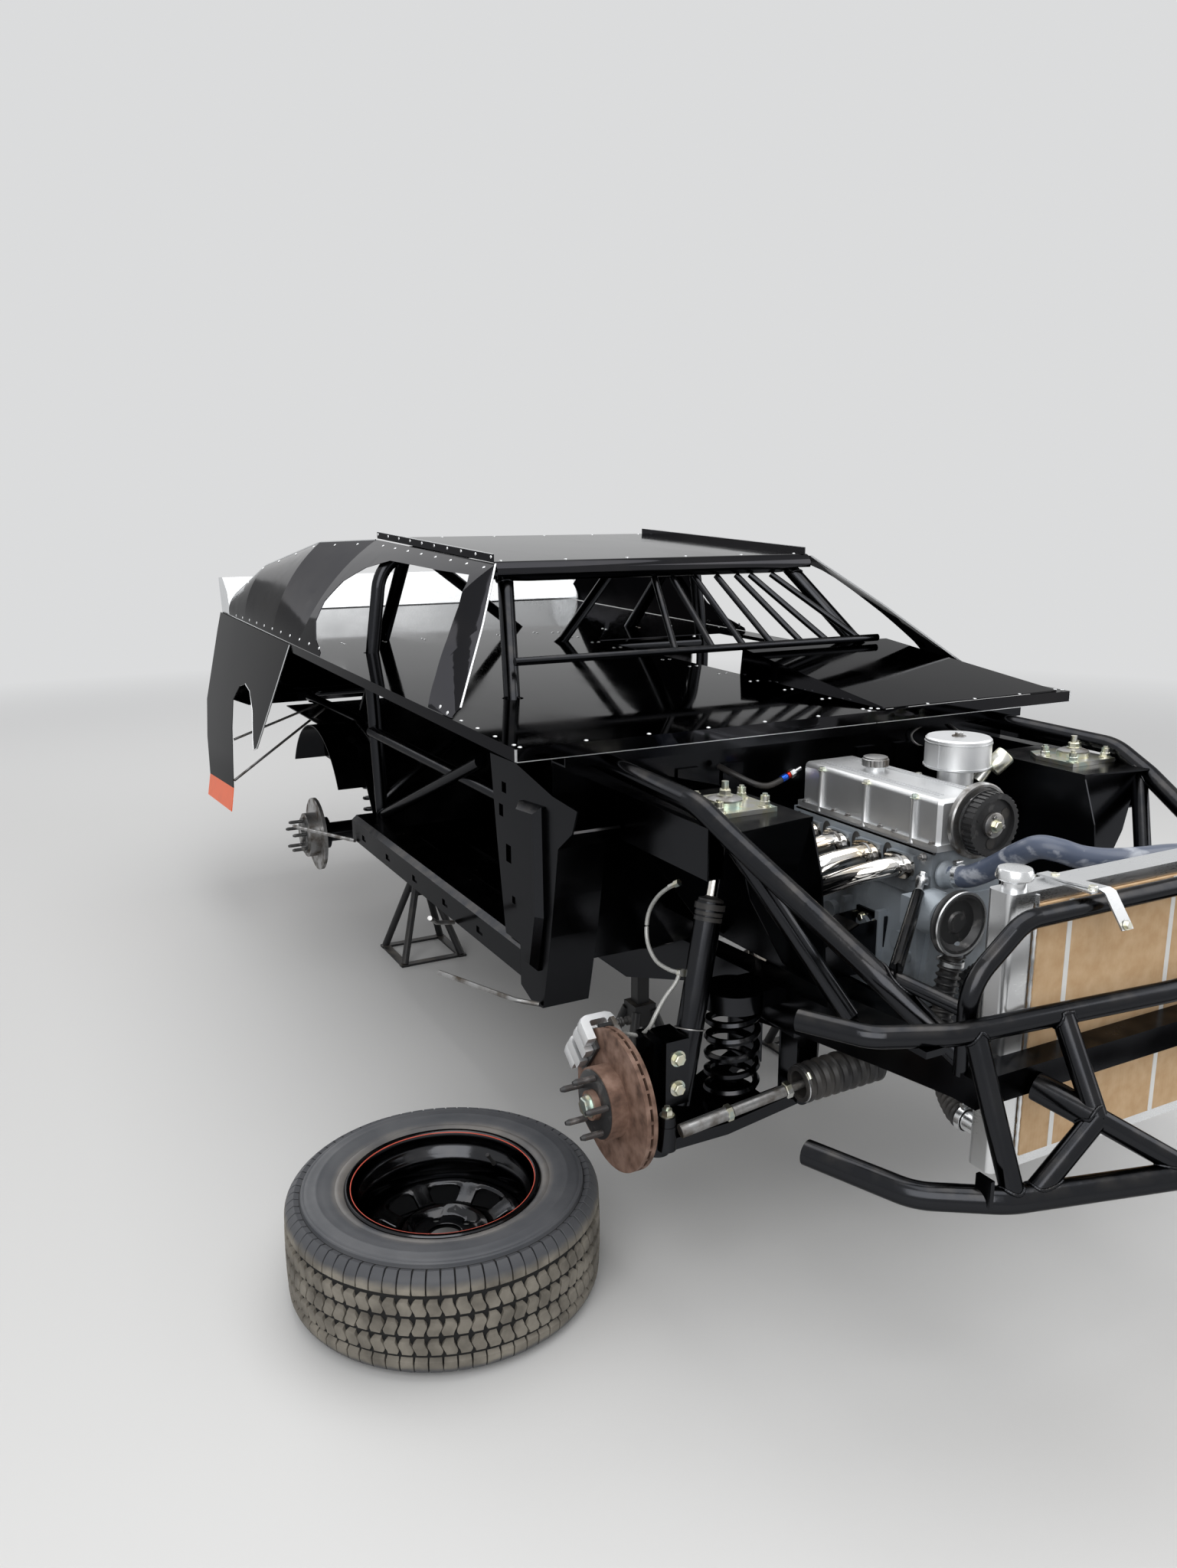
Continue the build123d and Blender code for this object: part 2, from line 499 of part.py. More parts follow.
# Roof: flat panel rolled down over the halo's front bar, with an upright lip on each side
def roof():
    y_roll = ROOF_FRONT_Y + 26
    r_out, r_in = 30.0, 30.0 - SHEET
    z_mid = roof_z(y_roll) - r_out
    with BuildSketch(Plane.YZ) as side:
        with BuildLine():
            top = Line((ROOF_REAR_Y, ROOF_REAR_Z), (y_roll, roof_z(y_roll)))
            nose = ThreePointArc(top @ 1, (y_roll - 0.866 * r_out, z_mid + 0.5 * r_out),
                                 (y_roll - 0.94 * r_out, z_mid - 0.342 * r_out))
            end = Line(nose @ 1, (y_roll - 0.94 * r_in, z_mid - 0.342 * r_in))
            back = ThreePointArc(end @ 1, (y_roll - 0.866 * r_in, z_mid + 0.5 * r_in), (y_roll, roof_z(y_roll) - SHEET))
            under = Line(back @ 1, (ROOF_REAR_Y, ROOF_REAR_Z - SHEET))
            Line(under @ 1, top @ 0)
        make_face()
    panel = Pos(-ROOF_HALF, 0, 0) * extrude(side.sketch, 2 * ROOF_HALF)
    lips = []
    for s in (-1, 1):
        outline = [(y_roll, roof_z(y_roll) - SHEET), (ROOF_REAR_Y, ROOF_REAR_Z - SHEET),
                   (ROOF_REAR_Y, ROOF_REAR_Z + ROOF_LIP), (y_roll, roof_z(y_roll) + ROOF_LIP)]
        x = s * ROOF_HALF
        lips.append(side_plate(outline, min(x, x - s * SHEET), max(x, x - s * SHEET)))
    beads = [side_plate([(ROOF_FRONT_Y + 80, roof_z(ROOF_FRONT_Y + 80) - SHEET - 5),
                         (ROOF_REAR_Y - 60, ROOF_REAR_Z - SHEET - 5), (ROOF_REAR_Y - 60, ROOF_REAR_Z - SHEET),
                         (ROOF_FRONT_Y + 80, roof_z(ROOF_FRONT_Y + 80) - SHEET)],
                        x - 2, x + 2) for x in (-260, 0, 260)]
    return join([panel] + lips + beads)


# Sail panels: bowed sheets from the roof's side down to the deck's edge, with the side window cut
SAIL_BOW = 34.0
SAIL_STATIONS = (
    # y, top x, top z
    (700.0, 815.0, 1146.0), (905.0, 668.0, 1316.0), (1110.0, 540.0, 1462.0), (2156.0, 540.0, 1508.0),
    (2520.0, 640.0, 1494.0), (2985.0, 742.0, 1393.0), (3300.0, 815.0, 1255.0),
)
WINDOW_CUT = (
    # y, z round the side window
    (845.0, 1100.0), (906.0, 1198.0), (985.0, 1284.0), (1063.0, 1356.0), (1139.0, 1414.0), (1180.0, 1432.0),
    (1406.0, 1436.0), (1822.0, 1449.0), (1966.0, 1421.0), (2061.0, 1374.0), (2100.0, 1306.0), (2073.0, 1243.0),
    (1974.0, 1189.0), (1876.0, 1158.0), (1870.0, 1080.0), (860.0, 1050.0),
)


def sail_panel():
    sections = []
    for y, tx, tz in SAIL_STATIONS:
        foot = (-DECK_HALF, deck_z(y) + 2 * SHEET)
        top = (-tx, tz)
        bow = SAIL_BOW * min(1.0, (tz - foot[1]) / 300.0)
        sections.append(sail_section(y, foot, top, bow))
    skin = loft(sections, ruled=True)
    outline = Polyline(*WINDOW_CUT, close=True)
    plane = Plane(origin=(-1000, 0, 0), x_dir=(0, 1, 0), z_dir=(1, 0, 0))
    return skin.cut(extrude(plane * make_face(outline), 600))


def sail_section(y, foot, top, bow):
    run = Vector(top[0] - foot[0], top[1] - foot[1])
    out = Vector(-run.Y, run.X).normalized()
    mid = Vector(*foot) + run * 0.5
    plane = Plane(origin=(0, y, 0), x_dir=(1, 0, 0), z_dir=(0, -1, 0))
    with BuildSketch(plane) as piece:
        with BuildLine():
            outer = ThreePointArc(foot, tuple(mid + out * bow)[:2], top)
            end = Line(outer @ 1, tuple(Vector(*top) - out * SHEET)[:2])
            inner = ThreePointArc(end @ 1, tuple(mid + out * (bow - SHEET))[:2], tuple(Vector(*foot) - out * SHEET)[:2])
            Line(inner @ 1, outer @ 0)
        make_face()
    return piece.sketch.faces()[0]


# Quarter panels: leaning side sheets behind the doors with the wheel arch cut in
QUARTER_OUTLINE = (
    # y, z on the leaning sheet
    (2249.0, 1149.0), (2436.0, 754.0), (2476.0, 742.0), (2521.0, 779.0), (2600.0, 868.0), (2700.0, 930.0),
    (2790.0, 946.0), (2880.0, 925.0), (2950.0, 862.0), (2880.0, 760.0), (2740.0, 620.0), (2678.0, 560.0),
    (3115.0, 533.0), (3300.0, 660.0), (3440.0, 800.0), (3478.0, 1100.0), (3478.0, 1174.0),
)
SKIRT_OUTLINE = ((2678.0, 559.7), (2640.0, 476.0), (3085.0, 452.0), (3115.0, 532.7))


def leaning(outline, thick):
    """Sheet cut to (y, z) places, standing on the plane that leans out from the deck's edge."""
    lean = tan(radians(QUARTER_LEAN))
    points = [(-DECK_HALF - SEAT - (deck_z(y) - min(z, deck_z(y))) * lean, y, min(z, deck_z(y))) for y, z in outline]
    face = make_face(Polyline(*points, close=True)).face()
    normal = face.normal_at()
    side = Vector(-1, 0, 0)
    away = 1 if normal.dot(side) > 0 else -1
    return extrude(face, amount=thick, dir=normal * away)


def quarter_panel():
    return leaning(QUARTER_OUTLINE, SHEET)


def quarter_skirt():
    return leaning(SKIRT_OUTLINE, SHEET)


def spoiler():
    y0, z0 = DECK_REAR_Y - 6, deck_z(DECK_REAR_Y - 6) + SHEET + SEAT
    outline = [(y0 - 40, z0), (y0 + SHEET, z0), (y0 + SHEET + SPOILER_RUN, z0 + SPOILER_RISE),
               (y0 + SPOILER_RUN, z0 + SPOILER_RISE), (y0, z0 + SHEET), (y0 - 40, z0 + SHEET)]
    blade = side_plate(outline, -DECK_HALF + 6, DECK_HALF - 6)
    ends = []
    for s in (-1, 1):
        x = s * (DECK_HALF - 4)
        end = side_plate([(y0 - 150, z0), (y0 + 30, z0), (y0 + 62, z0 + SPOILER_RISE), (y0 - 20, z0 + SPOILER_RISE + 6),
                          (y0 - 110, z0 + 90)], min(x, x - s * SHEET), max(x, x - s * SHEET))
        ends.append(end)
    return join([blade] + ends)


def tail_panel():
    y = DECK_REAR_Y - 22
    top = deck_z(y) - 2
    plane = Plane(origin=(0, y, 0), x_dir=(1, 0, 0), z_dir=(0, -1, 0))
    lean = tan(radians(QUARTER_LEAN))
    half_low = DECK_HALF + (top - 830) * lean - 6
    face = make_face(Polyline((-DECK_HALF + 6, top), (-half_low, 830), (-half_low + 160, 760), (half_low - 160, 760),
                              (half_low, 830), (DECK_HALF - 6, top), close=True))
    return extrude(plane * face, SHEET)


# Body braces: flat bars and rods that will carry the door and quarter panels
def body_braces():
    parts = []
    for s in (-1, 1):
        parts.append(tube([(s * 746.5, 428, 478), (s * 790, 470, 482), (s * 889, 711, 484)], 12, 30))
        parts.append(tube([(s * 744.7, 977, 506), (s * 800, 960, 520), (s * 880, 790, 600)], 12, 30))
        parts.append(tube([(s * 748.1, 1886, 512), (s * 850, 2240, 486), (s * 855, 2300, 480)], 12, 60))
        parts.append(bar((s * 545, 3000, 812), (s * (DECK_HALF + 86), 2945, 700), 10))
        parts.append(bar((s * 545, 2900, 812), (s * (DECK_HALF + 131), 2762, 570), 10))
    return Compound(parts)


# Camber plates on the strut towers
def camber_plate():
    plate = flat_plate([(-TOWER_X - 64, TOWER_Y - 70), (-TOWER_X + 80, TOWER_Y - 70),
                        (-TOWER_X + 80, TOWER_Y + 40), (-TOWER_X + 50, TOWER_Y + 84), (-TOWER_X - 44, TOWER_Y + 84),
                        (-TOWER_X - 64, TOWER_Y + 40)], TOWER_Z + SEAT, TOWER_Z + 10)
    slot = Pos(-TOWER_X, TOWER_Y, TOWER_Z + 10) * Cylinder(24, 40)
    rise = Pos(-TOWER_X, TOWER_Y, TOWER_Z + 14) * (Cylinder(38, 12) - Cylinder(11, 30))
    nuts = [Pos(-TOWER_X + x, TOWER_Y + y, TOWER_Z + 10) * Cylinder(9, 22, align=BASE)
            for x, y in ((-50, -52), (62, -52), (-50, 30), (62, 30))]
    return join([plate.cut(slot), rise] + nuts)


# Engine: inline four with a tall aluminium cam cover
BOX_Z = 600.0
ENGINE_FRONT_Y = -150.0
ENGINE_REAR_Y = 330.0
CRANK_Z = 610.0
CAM_Z = 966.0
COVER_BASE_Z = 905.0


def engine():
    block = Plane(origin=(0, ENGINE_REAR_Y, 0), x_dir=(1, 0, 0), z_dir=(0, -1, 0)) * make_face(
        Polyline((-128, 560), (-112, 640), (-96, 760), (-92, 800), (86, 800), (92, 760), (116, 640), (128, 560), close=True))
    block = extrude(block, ENGINE_REAR_Y - ENGINE_FRONT_Y)
    head = box(-104, 96, ENGINE_FRONT_Y + 6, ENGINE_REAR_Y - 6, 800, COVER_BASE_Z - SEAT)
    pan = side_plate([(ENGINE_REAR_Y - 10, 560), (ENGINE_REAR_Y - 10, 520), (ENGINE_REAR_Y - 40, 462), (150, 462),
                      (126, 520), (122, 560)], -108, 108)
    bell = Plane(origin=(0, ENGINE_REAR_Y, BOX_Z), z_dir=(0, 1, 0)).location * Cone(
        165, 105, 100, align=BASE)
    plugs = [Plane(origin=(-98 - 10, y, 690), z_dir=(-1, 0, 0)).location * Cylinder(21, 24) for y in (-70, 45, 160, 275)]
    ports = [Pos(-108, y, 860) * Box(12, 74, 52) for y in PORT_Y]
    ribs = [box(-126, -100, y - 6, y + 6, 600, 740) for y in (-130, -10, 105, 220, 318)]
    filter_ = Plane(origin=(112, 20, 650), z_dir=(1, 0.25, -0.2)).location * Cylinder(
        38, 90, align=BASE)
    return join([block, head, pan, bell, filter_] + plugs + ports + ribs)


PORT_Y = (-62.0, 42.0, 146.0, 250.0)


def valve_cover():
    x0, x1 = -90.0, 62.0
    y0, y1 = ENGINE_FRONT_Y, 318.0
    lower = box(x0 - 8, x1 + 8, y0, y1, COVER_BASE_Z, COVER_BASE_Z + 14)
    upper = box(x0, x1, y0 + 6, y1 - 6, COVER_BASE_Z, 1015)
    upper = fillet(upper.edges().filter_by(Axis.Y).group_by(Axis.Z)[-1], 12)
    upper = chamfer(upper.faces().sort_by(Axis.Z)[-1].edges().filter_by(Axis.X), 8)
    bosses = [Pos(x, y, COVER_BASE_Z) * Cylinder(7, 100, align=BASE)
              for x in (x0 - 1, x1 + 1) for y in (-70, 84, 240)]
    cap = Pos(-10, 150, 1015) * Cylinder(22, 12, align=BASE)
    return join([lower, upper] + bosses + [cap])


# Exhaust header: four primaries that sweep out, down and back into one collector
HEADER_D = 42.0
HEADER_GAP = 46.0
COLLECTOR_AT = (-224.0, 292.0, 506.0)
COLLECTOR_WAY = (0.0, 0.91, -0.415)
COLLECTOR_R = 57.0
TAILPIPE = ((-224.0, 384.0, 464.0), (-222.0, 470.0, 425.0), (-145.0, 640.0, 402.0), (-145.0, 1500.0, 402.0))
TAILPIPE_D = 62.0


def header():
    parts = [box(-124, -114 - SEAT, PORT_Y[0] - 46, PORT_Y[3] + 46, 832, 890)]
    way = Vector(*COLLECTOR_WAY).normalized()
    up = Vector(1, 0, 0).cross(way)
    for i, y in enumerate(PORT_Y):
        side, rise = (0.5 - i % 2) * HEADER_GAP, (i // 2 - 0.5) * HEADER_GAP
        inlet = Vector(*COLLECTOR_AT) + Vector(side, 0, 0) + up * rise
        reach = -236 - 24 * (i % 2)
        route = [(-120, y, 861), (reach, y, 861), (reach - 4, y + 34, 770 - 30 * i)]
        parts.append(tube(route + [tuple(inlet - way * 40), tuple(inlet + way * 20)], HEADER_D, [48, 40, 30]))
    collector = Plane(origin=COLLECTOR_AT, z_dir=way).location * Cone(
        COLLECTOR_R, TAILPIPE_D / 2 + 1, 110, align=BASE)
    return join(parts + [collector, tube(TAILPIPE, TAILPIPE_D, [90, 120])])


# Intake side: manifold, carburettor and the round air can
def intake():
    plenum = box(96 + SEAT, 150, 20, 250, 840, 890)
    runners = [tube([(97, y, 850), (160, y, 850), (178, 90 + 0.35 * (y - 90), 890)], 34, 30) for y in (30, 230)]
    pad = box(97, 176, -10, 130, 890, 906)
    carb = box(84, 164, -20, 96, 906, 975)
    bowls = [Plane(origin=(x, 38, 940), z_dir=(0, 1, 0)).location * Cylinder(26, 150) for x in (104, 146)]
    neck = Pos(122, 30, 975) * Cylinder(40, 58, align=BASE)
    can = Pos(120, 25, 1033) * Cylinder(73, 71, align=BASE)
    can = chamfer(can.edges(), 4)
    nut = Pos(120, 25, 1104) * Cylinder(8, 10, align=BASE)
    return join([plenum, pad, carb, neck, can, nut] + runners + bowls)


# Timing drive: toothed cam, crank and auxiliary pulleys, with no belt on them yet
GEAR_Y = -196.0
GEAR_W = 26.0
PULLEYS = (
    # x, z, radius, teeth
    (0.0, CAM_Z, 68.0, 34), (0.0, CRANK_Z, 44.0, 22), (-74.0, 742.0, 52.0, 26),
)


def pulley(radius, teeth):
    """Toothed pulley with a dished face, on a stub that reaches back to the engine."""
    disc = Cylinder(radius - 2, GEAR_W, align=BASE)
    cogs = [Pos(px, py, 0) * Rot(0, 0, a) * Box(5, 6, GEAR_W, align=BASE) for a, px, py in ring(radius - 2, teeth)]
    dish = Pos(0, 0, GEAR_W - 8) * Cylinder(radius - 12, 12, align=BASE)
    hub = Cylinder(17, GEAR_W, align=BASE)
    reach = ENGINE_FRONT_Y - (GEAR_Y + GEAR_W / 2) - SEAT
    stub = Pos(0, 0, -reach) * Cylinder(15, reach + 2, align=BASE)
    return disc.fuse(*cogs).cut(dish).fuse(hub, stub)


def timing_drive():
    parts = []
    for x, z, radius, teeth in PULLEYS:
        place = Plane(origin=(x, GEAR_Y + GEAR_W / 2, z), x_dir=(1, 0, 0), z_dir=(0, -1, 0)).location
        parts.append(place * pulley(radius, teeth))
    crank = Plane(origin=(0, GEAR_Y - 14, CRANK_Z), z_dir=(0, -1, 0)).location * Cylinder(
        64, 26, align=BASE)
    return Compound(parts + [crank])


# Radiator: aluminium core between side tanks, with its filler neck
RAD_Y = -560.0
RAD_T = 56.0
RAD_HALF = 329.0
RAD_LOW = 446.0
RAD_TOP = 969.0
TANK_W = 62.0


def radiator():
    y1 = RAD_Y + RAD_T
    core = box(-RAD_HALF + TANK_W, RAD_HALF - TANK_W, RAD_Y + 6, y1 - 6, RAD_LOW + 20, RAD_TOP - 20)
    tanks = []
    for s in (-1, 1):
        tank = box(s * (RAD_HALF - TANK_W / 2) - TANK_W / 2, s * (RAD_HALF - TANK_W / 2) + TANK_W / 2,
                   RAD_Y, y1, RAD_LOW, RAD_TOP)
        tanks.append(fillet(tank.edges().filter_by(Axis.Z), 12))
    rails = [box(-RAD_HALF + 30, RAD_HALF - 30, RAD_Y, y1, z, z + 22) for z in (RAD_LOW, RAD_TOP - 22)]
    neck = Pos(-RAD_HALF + 34, RAD_Y + 28, RAD_TOP) * Cylinder(20, 22, align=BASE)
    cap = Pos(-RAD_HALF + 34, RAD_Y + 28, RAD_TOP + 18) * Cylinder(30, 16, align=BASE)
    brackets = [box(x - 16, x + 16, -600 - 18, RAD_Y + 40, RAD_TOP, RAD_TOP + 4) for x in (-190, 190)]
    spigots = [bar((RAD_HALF - 34, y1 - 8, 930), (RAD_HALF - 34, y1 + 34, 930), 38),
               bar((-RAD_HALF + 34, y1 - 8, 500), (-RAD_HALF + 34, y1 + 34, 500), 38)]
    return join([core] + tanks + rails + [neck, cap] + brackets + spigots)


def radiator_cover():
    board = box(-RAD_HALF + TANK_W + 2, RAD_HALF - TANK_W - 2, RAD_Y - 6, RAD_Y + 6 - SEAT, RAD_LOW + 24, RAD_TOP - 24)
    straps = [box(x - 6, x + 6, RAD_Y - 8, RAD_Y - 6, RAD_LOW + 24, RAD_TOP - 24) for x in (-150, 20, 190)]
    return join([board] + straps)


def hoses():
    y1 = RAD_Y + RAD_T
    upper = tube([(-88, ENGINE_FRONT_Y - 10, 866), (-88, -262, 880), (-80, -300, 985), (120, -400, 1006),
                  (RAD_HALF - 34, -380, 960), (RAD_HALF - 34, -410, 930), (RAD_HALF - 34, y1 + 34 + SEAT, 930)],
                 40, [30, 50, 90, 20, 20])
    return upper


# Front suspension fixed to the body: coil springs and lower arms
BALL_JOINT = Vector(-700.0, -30.0, 340.0)
STRUT_TOP = Vector(-TOWER_X, TOWER_Y, TOWER_Z + 8)
STEER_WAY = (STRUT_TOP - BALL_JOINT).normalized()
BALL_PIN_D = 18.0
BALL_PIN_END = 66.0
ARM_PIVOTS_Y = (-62.0, 130.0)
ARM_INNER_X = 372.0
ARM_TILT = 8.0
SPRING_X = 505.0
SPRING_Y = -10.0
SPRING_D = 120.0
SPRING_WIRE = 16.0
SPRING_TURNS = 5


def lower_arm():
    outline = [(BALL_JOINT.X - 28, -50), (BALL_JOINT.X - 28, -10), (-560, 96), (-400, 152), (-352, 152),
               (-352, 106), (-400, 106), (-440, 84), (-440, -34), (-352, -40), (-352, -84), (-560, -84)]
    z = BALL_JOINT.Z - 10
    plate = flat_plate(outline, z, z + 26)
    arm = Pos(BALL_JOINT.X, 0, z) * Rot(0, -ARM_TILT, 0) * Pos(-BALL_JOINT.X, 0, -z) * plate
    boss = Pos(*BALL_JOINT) * Cylinder(26, 36)
    pin = bar(BALL_JOINT, BALL_JOINT + STEER_WAY * BALL_PIN_END, BALL_PIN_D)
    eyes = [bar((-ARM_INNER_X, y - 27.7, 394), (-ARM_INNER_X, y + 27.7, 394), 46) for y in ARM_PIVOTS_Y]
    seat = Pos(-SPRING_X, SPRING_Y, 380) * Cylinder(SPRING_D / 2 + 4, 14)
    return join([arm, boss, pin, seat] + eyes)


def front_spring():
    rise = 190.0
    path = Helix(pitch=rise / SPRING_TURNS, height=rise, radius=(SPRING_D - SPRING_WIRE) / 2)
    plane = Plane(origin=path @ 0, z_dir=path % 0)
    coil = sweep(plane * RegularPolygon(SPRING_WIRE / 2, 6), path=path)
    return Pos(-SPRING_X, SPRING_Y, 387 + SPRING_WIRE / 2 + SEAT) * coil


# Steering: rack housing with bellows, rack bar, tie rods
RACK_Y = -150.0
RACK_Z = 470.0
RACK_BODY_HALF = 230.0
RACK_BODY_D = 50.0
BELLOWS_END = 430.0
ARM_EYE = (-725.0, -108.0, 437.0)


def rack_housing():
    body = bar((-RACK_BODY_HALF, RACK_Y, RACK_Z), (RACK_BODY_HALF, RACK_Y, RACK_Z), RACK_BODY_D)
    body = body.cut(bar((-RACK_BODY_HALF - 1, RACK_Y, RACK_Z), (RACK_BODY_HALF + 1, RACK_Y, RACK_Z), 32))
    pinion = bar((150, RACK_Y + 14, RACK_Z - 34), (150, RACK_Y + 26, RACK_Z + 66), 46)
    pinion = pinion.cut(bar((-RACK_BODY_HALF - 1, RACK_Y, RACK_Z), (RACK_BODY_HALF + 1, RACK_Y, RACK_Z), 32))
    parts = [body, pinion]
    return join(parts)


def knuckle():
    top = Vector(-TOWER_X, TOWER_Y, TOWER_Z - 20)
    low = Vector(-660, -44, 429)
    socket = bar(BALL_JOINT + STEER_WAY * 34, BALL_JOINT + STEER_WAY * (BALL_PIN_END + 8), 34)
    bore = bar(BALL_JOINT + STEER_WAY * 20, BALL_JOINT + STEER_WAY * (BALL_PIN_END + 2), BALL_PIN_D + 2 * SEAT)
    along = (top - low).normalized()
    body_top = low + along * 400
    strut = bar(tuple(low), tuple(body_top), 56)
    collar = bar(tuple(body_top - along * 6), tuple(body_top + along * 14), 62)
    rod = bar(tuple(body_top), tuple(top), 22)
    ears = box(-706, -652, -72, 4, 440, 580)
    upright = join([
        box(-716, -700, -40, 30, 380, 570),
        Plane(origin=(-742, 0, FRONT_HUB_Z), z_dir=(1, 0, 0)).location * Cylinder(34, 40, align=BASE),
        box(-716, -690, -50, 10, 372, 420),
    ])
    eye = Vector(*ARM_EYE)
    arm = bar((-706, -30, 430), tuple(eye), 22)
    ear = Pos(*ARM_EYE) * Cylinder(18, 20)
    ball = Pos(ARM_EYE[0], ARM_EYE[1], ARM_EYE[2] - 36) * Cylinder(19, 52)
    return join([strut, collar, rod, ears, upright, socket, arm, ear, ball]).cut(bore)


# Calipers: bridges over the front rotors with a piston body inboard
def caliper():
    centre = (-FRONT_ROTOR_X, 0, FRONT_HUB_Z)
    block = Pos(0, 0, ROTOR_R - 14) * Box(78, 128, 62)
    block = chamfer(block.edges().filter_by(Axis.X), 14)
    window = Pos(-14, 0, ROTOR_R + 12) * Box(34, 60, 60)
    piston = Plane(origin=(22, 0, ROTOR_R - 22), z_dir=(1, 0, 0)).location * Cylinder(30, 34)
    body = block.cut(window).fuse(piston)
    body = Pos(*centre) * Rot(-52, 0, 0) * body
    disc = Plane(origin=(centre[0] - ROTOR_T / 2 - 5, 0, FRONT_HUB_Z), z_dir=(1, 0, 0)).location * Cylinder(
        ROTOR_R + 5, ROTOR_T + 10, align=BASE)
    hat = Plane(origin=(centre[0] - 60, 0, FRONT_HUB_Z), z_dir=(1, 0, 0)).location * Cylinder(
        HUB_R + 8, 48, align=BASE)
    bracket = box(-752, -717, 20, 92, 484, 520)
    return join([body, bracket]).cut(disc, hat)


# Hubs: rotor, hat, centre and five wheel studs
HAT_DEPTH = 36.0
VANES = 30


def front_hub(turn):
    cheek = 9.0
    parts = []
    for z in (-ROTOR_T / 2, ROTOR_T / 2 - cheek):
        parts.append(Pos(0, 0, z) * Cylinder(ROTOR_R, cheek, align=BASE))
    for a, px, py in ring((ROTOR_R + 88) / 2, VANES):
        parts.append(Pos(px, py, 0) * Rot(0, 0, a) * Box(ROTOR_R - 90, 6, ROTOR_T - 2 * cheek + 2))
    bore = Cylinder(HUB_R - 10, ROTOR_T + 2)
    disc = parts[0].fuse(*parts[1:]).cut(bore)
    hat = Cylinder(HUB_R, HAT_DEPTH + ROTOR_T / 2, align=BASE)
    hat = hat.cut(Pos(0, 0, -1) * Cylinder(HUB_R - 8, HAT_DEPTH + ROTOR_T / 2 - 7, align=BASE))
    disc = disc.fuse(Pos(0, 0, -ROTOR_T / 2) * (Cylinder(HUB_R, ROTOR_T / 2, align=BASE)
                                                - Cylinder(HUB_R - 8, 60)))
    face = HAT_DEPTH + ROTOR_T / 2
    centre = Pos(0, 0, -10) * Cylinder(38, face + 10, align=BASE)
    nose = Pos(0, 0, face) * Cylinder(30, 14, align=BASE)
    nut = Pos(0, 0, face + 14) * extrude(RegularPolygon(17, 6), 14)
    body = join([disc, hat, centre, nose, nut] + studs(face, 46, turn))
    body = body.cut(Pos(0, 0, -12) * Cylinder(18, 30))
    return Plane(origin=(-FRONT_ROTOR_X, 0, FRONT_HUB_Z), x_dir=(0, 0, 1), z_dir=(-1, 0, 0)).location * body


def studs(face, length, turn):
    pieces = []
    for a, px, py in ring(STUD_PCD / 2, STUD_COUNT, turn):
        stud = Pos(px, py, face - 4) * Cylinder(STUD_D / 2, length, align=BASE)
        tip = Pos(px, py, face - 4 + length) * Cone(STUD_D / 2, STUD_D / 2 - 2.5, 8, align=BASE)
        pieces += [stud, tip]
    return pieces


REAR_DISC_T = 12.0
REAR_HAT_R = 86.0
REAR_HAT_DEPTH = 45.0


def rear_hub(turn):
    disc = Cylinder(ROTOR_R - 3, REAR_DISC_T)
    hat = Cylinder(REAR_HAT_R, REAR_HAT_DEPTH, align=BASE)
    hat = hat.cut(Pos(0, 0, -1) * Cylinder(REAR_HAT_R - 8, REAR_HAT_DEPTH - 7, align=BASE))
    disc = disc.cut(Cylinder(REAR_HAT_R - 8, 60))
    centre = Pos(0, 0, 0) * Cylinder(36, REAR_HAT_DEPTH, align=BASE)
    flange = Pos(0, 0, REAR_HAT_DEPTH) * Cylinder(HUB_R - 4, 8, align=BASE)
    pilot = Pos(0, 0, REAR_HAT_DEPTH + 8) * Cylinder(26, 12, align=BASE)
    body = join([disc, hat, centre, flange, pilot] + studs(REAR_HAT_DEPTH + 8, 50, turn))
    return Plane(origin=(-REAR_ROTOR_X, WHEELBASE, REAR_HUB_Z), x_dir=(0, 0, 1), z_dir=(-1, 0, 0)).location * body


# Steering linkage that moves
RACK_BAR_R = 13.0
TIE_PIVOT_X = 330.0
TIE_D = 16.0
TIE_GAP = 30.0
BOOT_R = 43.0
BOOT_WALL = 10.0


def bellows():
    """Ribbed rubber boot from the housing's end out along the tie rod."""
    a = Vector(-RACK_BODY_HALF + 12, RACK_Y, RACK_Z)
    b = Vector(-BELLOWS_END, RACK_Y + 8, RACK_Z - 13)
    length = (b - a).length
    neck, ribs = 14.0, 9
    pitch = (length - neck) / ribs
    profile = [(20.0, 0.0), (32.0, 0.0), (32.0, neck - 2), (BOOT_R - 6, neck)]
    for i in range(ribs):
        crest, valley = BOOT_R - i * 0.3, BOOT_R - 5.5 - i * 0.2
        z = neck + i * pitch
        profile += [(crest, z + 0.35 * pitch), (crest, z + 0.65 * pitch), (valley, z + pitch)]
    profile += [(BOOT_R - BOOT_WALL, length), (BOOT_R - BOOT_WALL, neck + 4), (20.0, neck - 2)]
    boot = turned(profile, tuple(a), tuple(b - a))
    return boot.cut(bar((-RACK_BODY_HALF - 6, RACK_Y, RACK_Z), (-RACK_BODY_HALF + 20, RACK_Y, RACK_Z),
                        RACK_BODY_D + 2 * SEAT))


def rack_bar():
    rod = bar((-TIE_PIVOT_X, RACK_Y, RACK_Z), (TIE_PIVOT_X, RACK_Y, RACK_Z), 2 * RACK_BAR_R)
    sockets = [Pos(s * TIE_PIVOT_X, RACK_Y, RACK_Z) * Sphere(15) for s in (-1, 1)]
    return join([rod] + sockets)


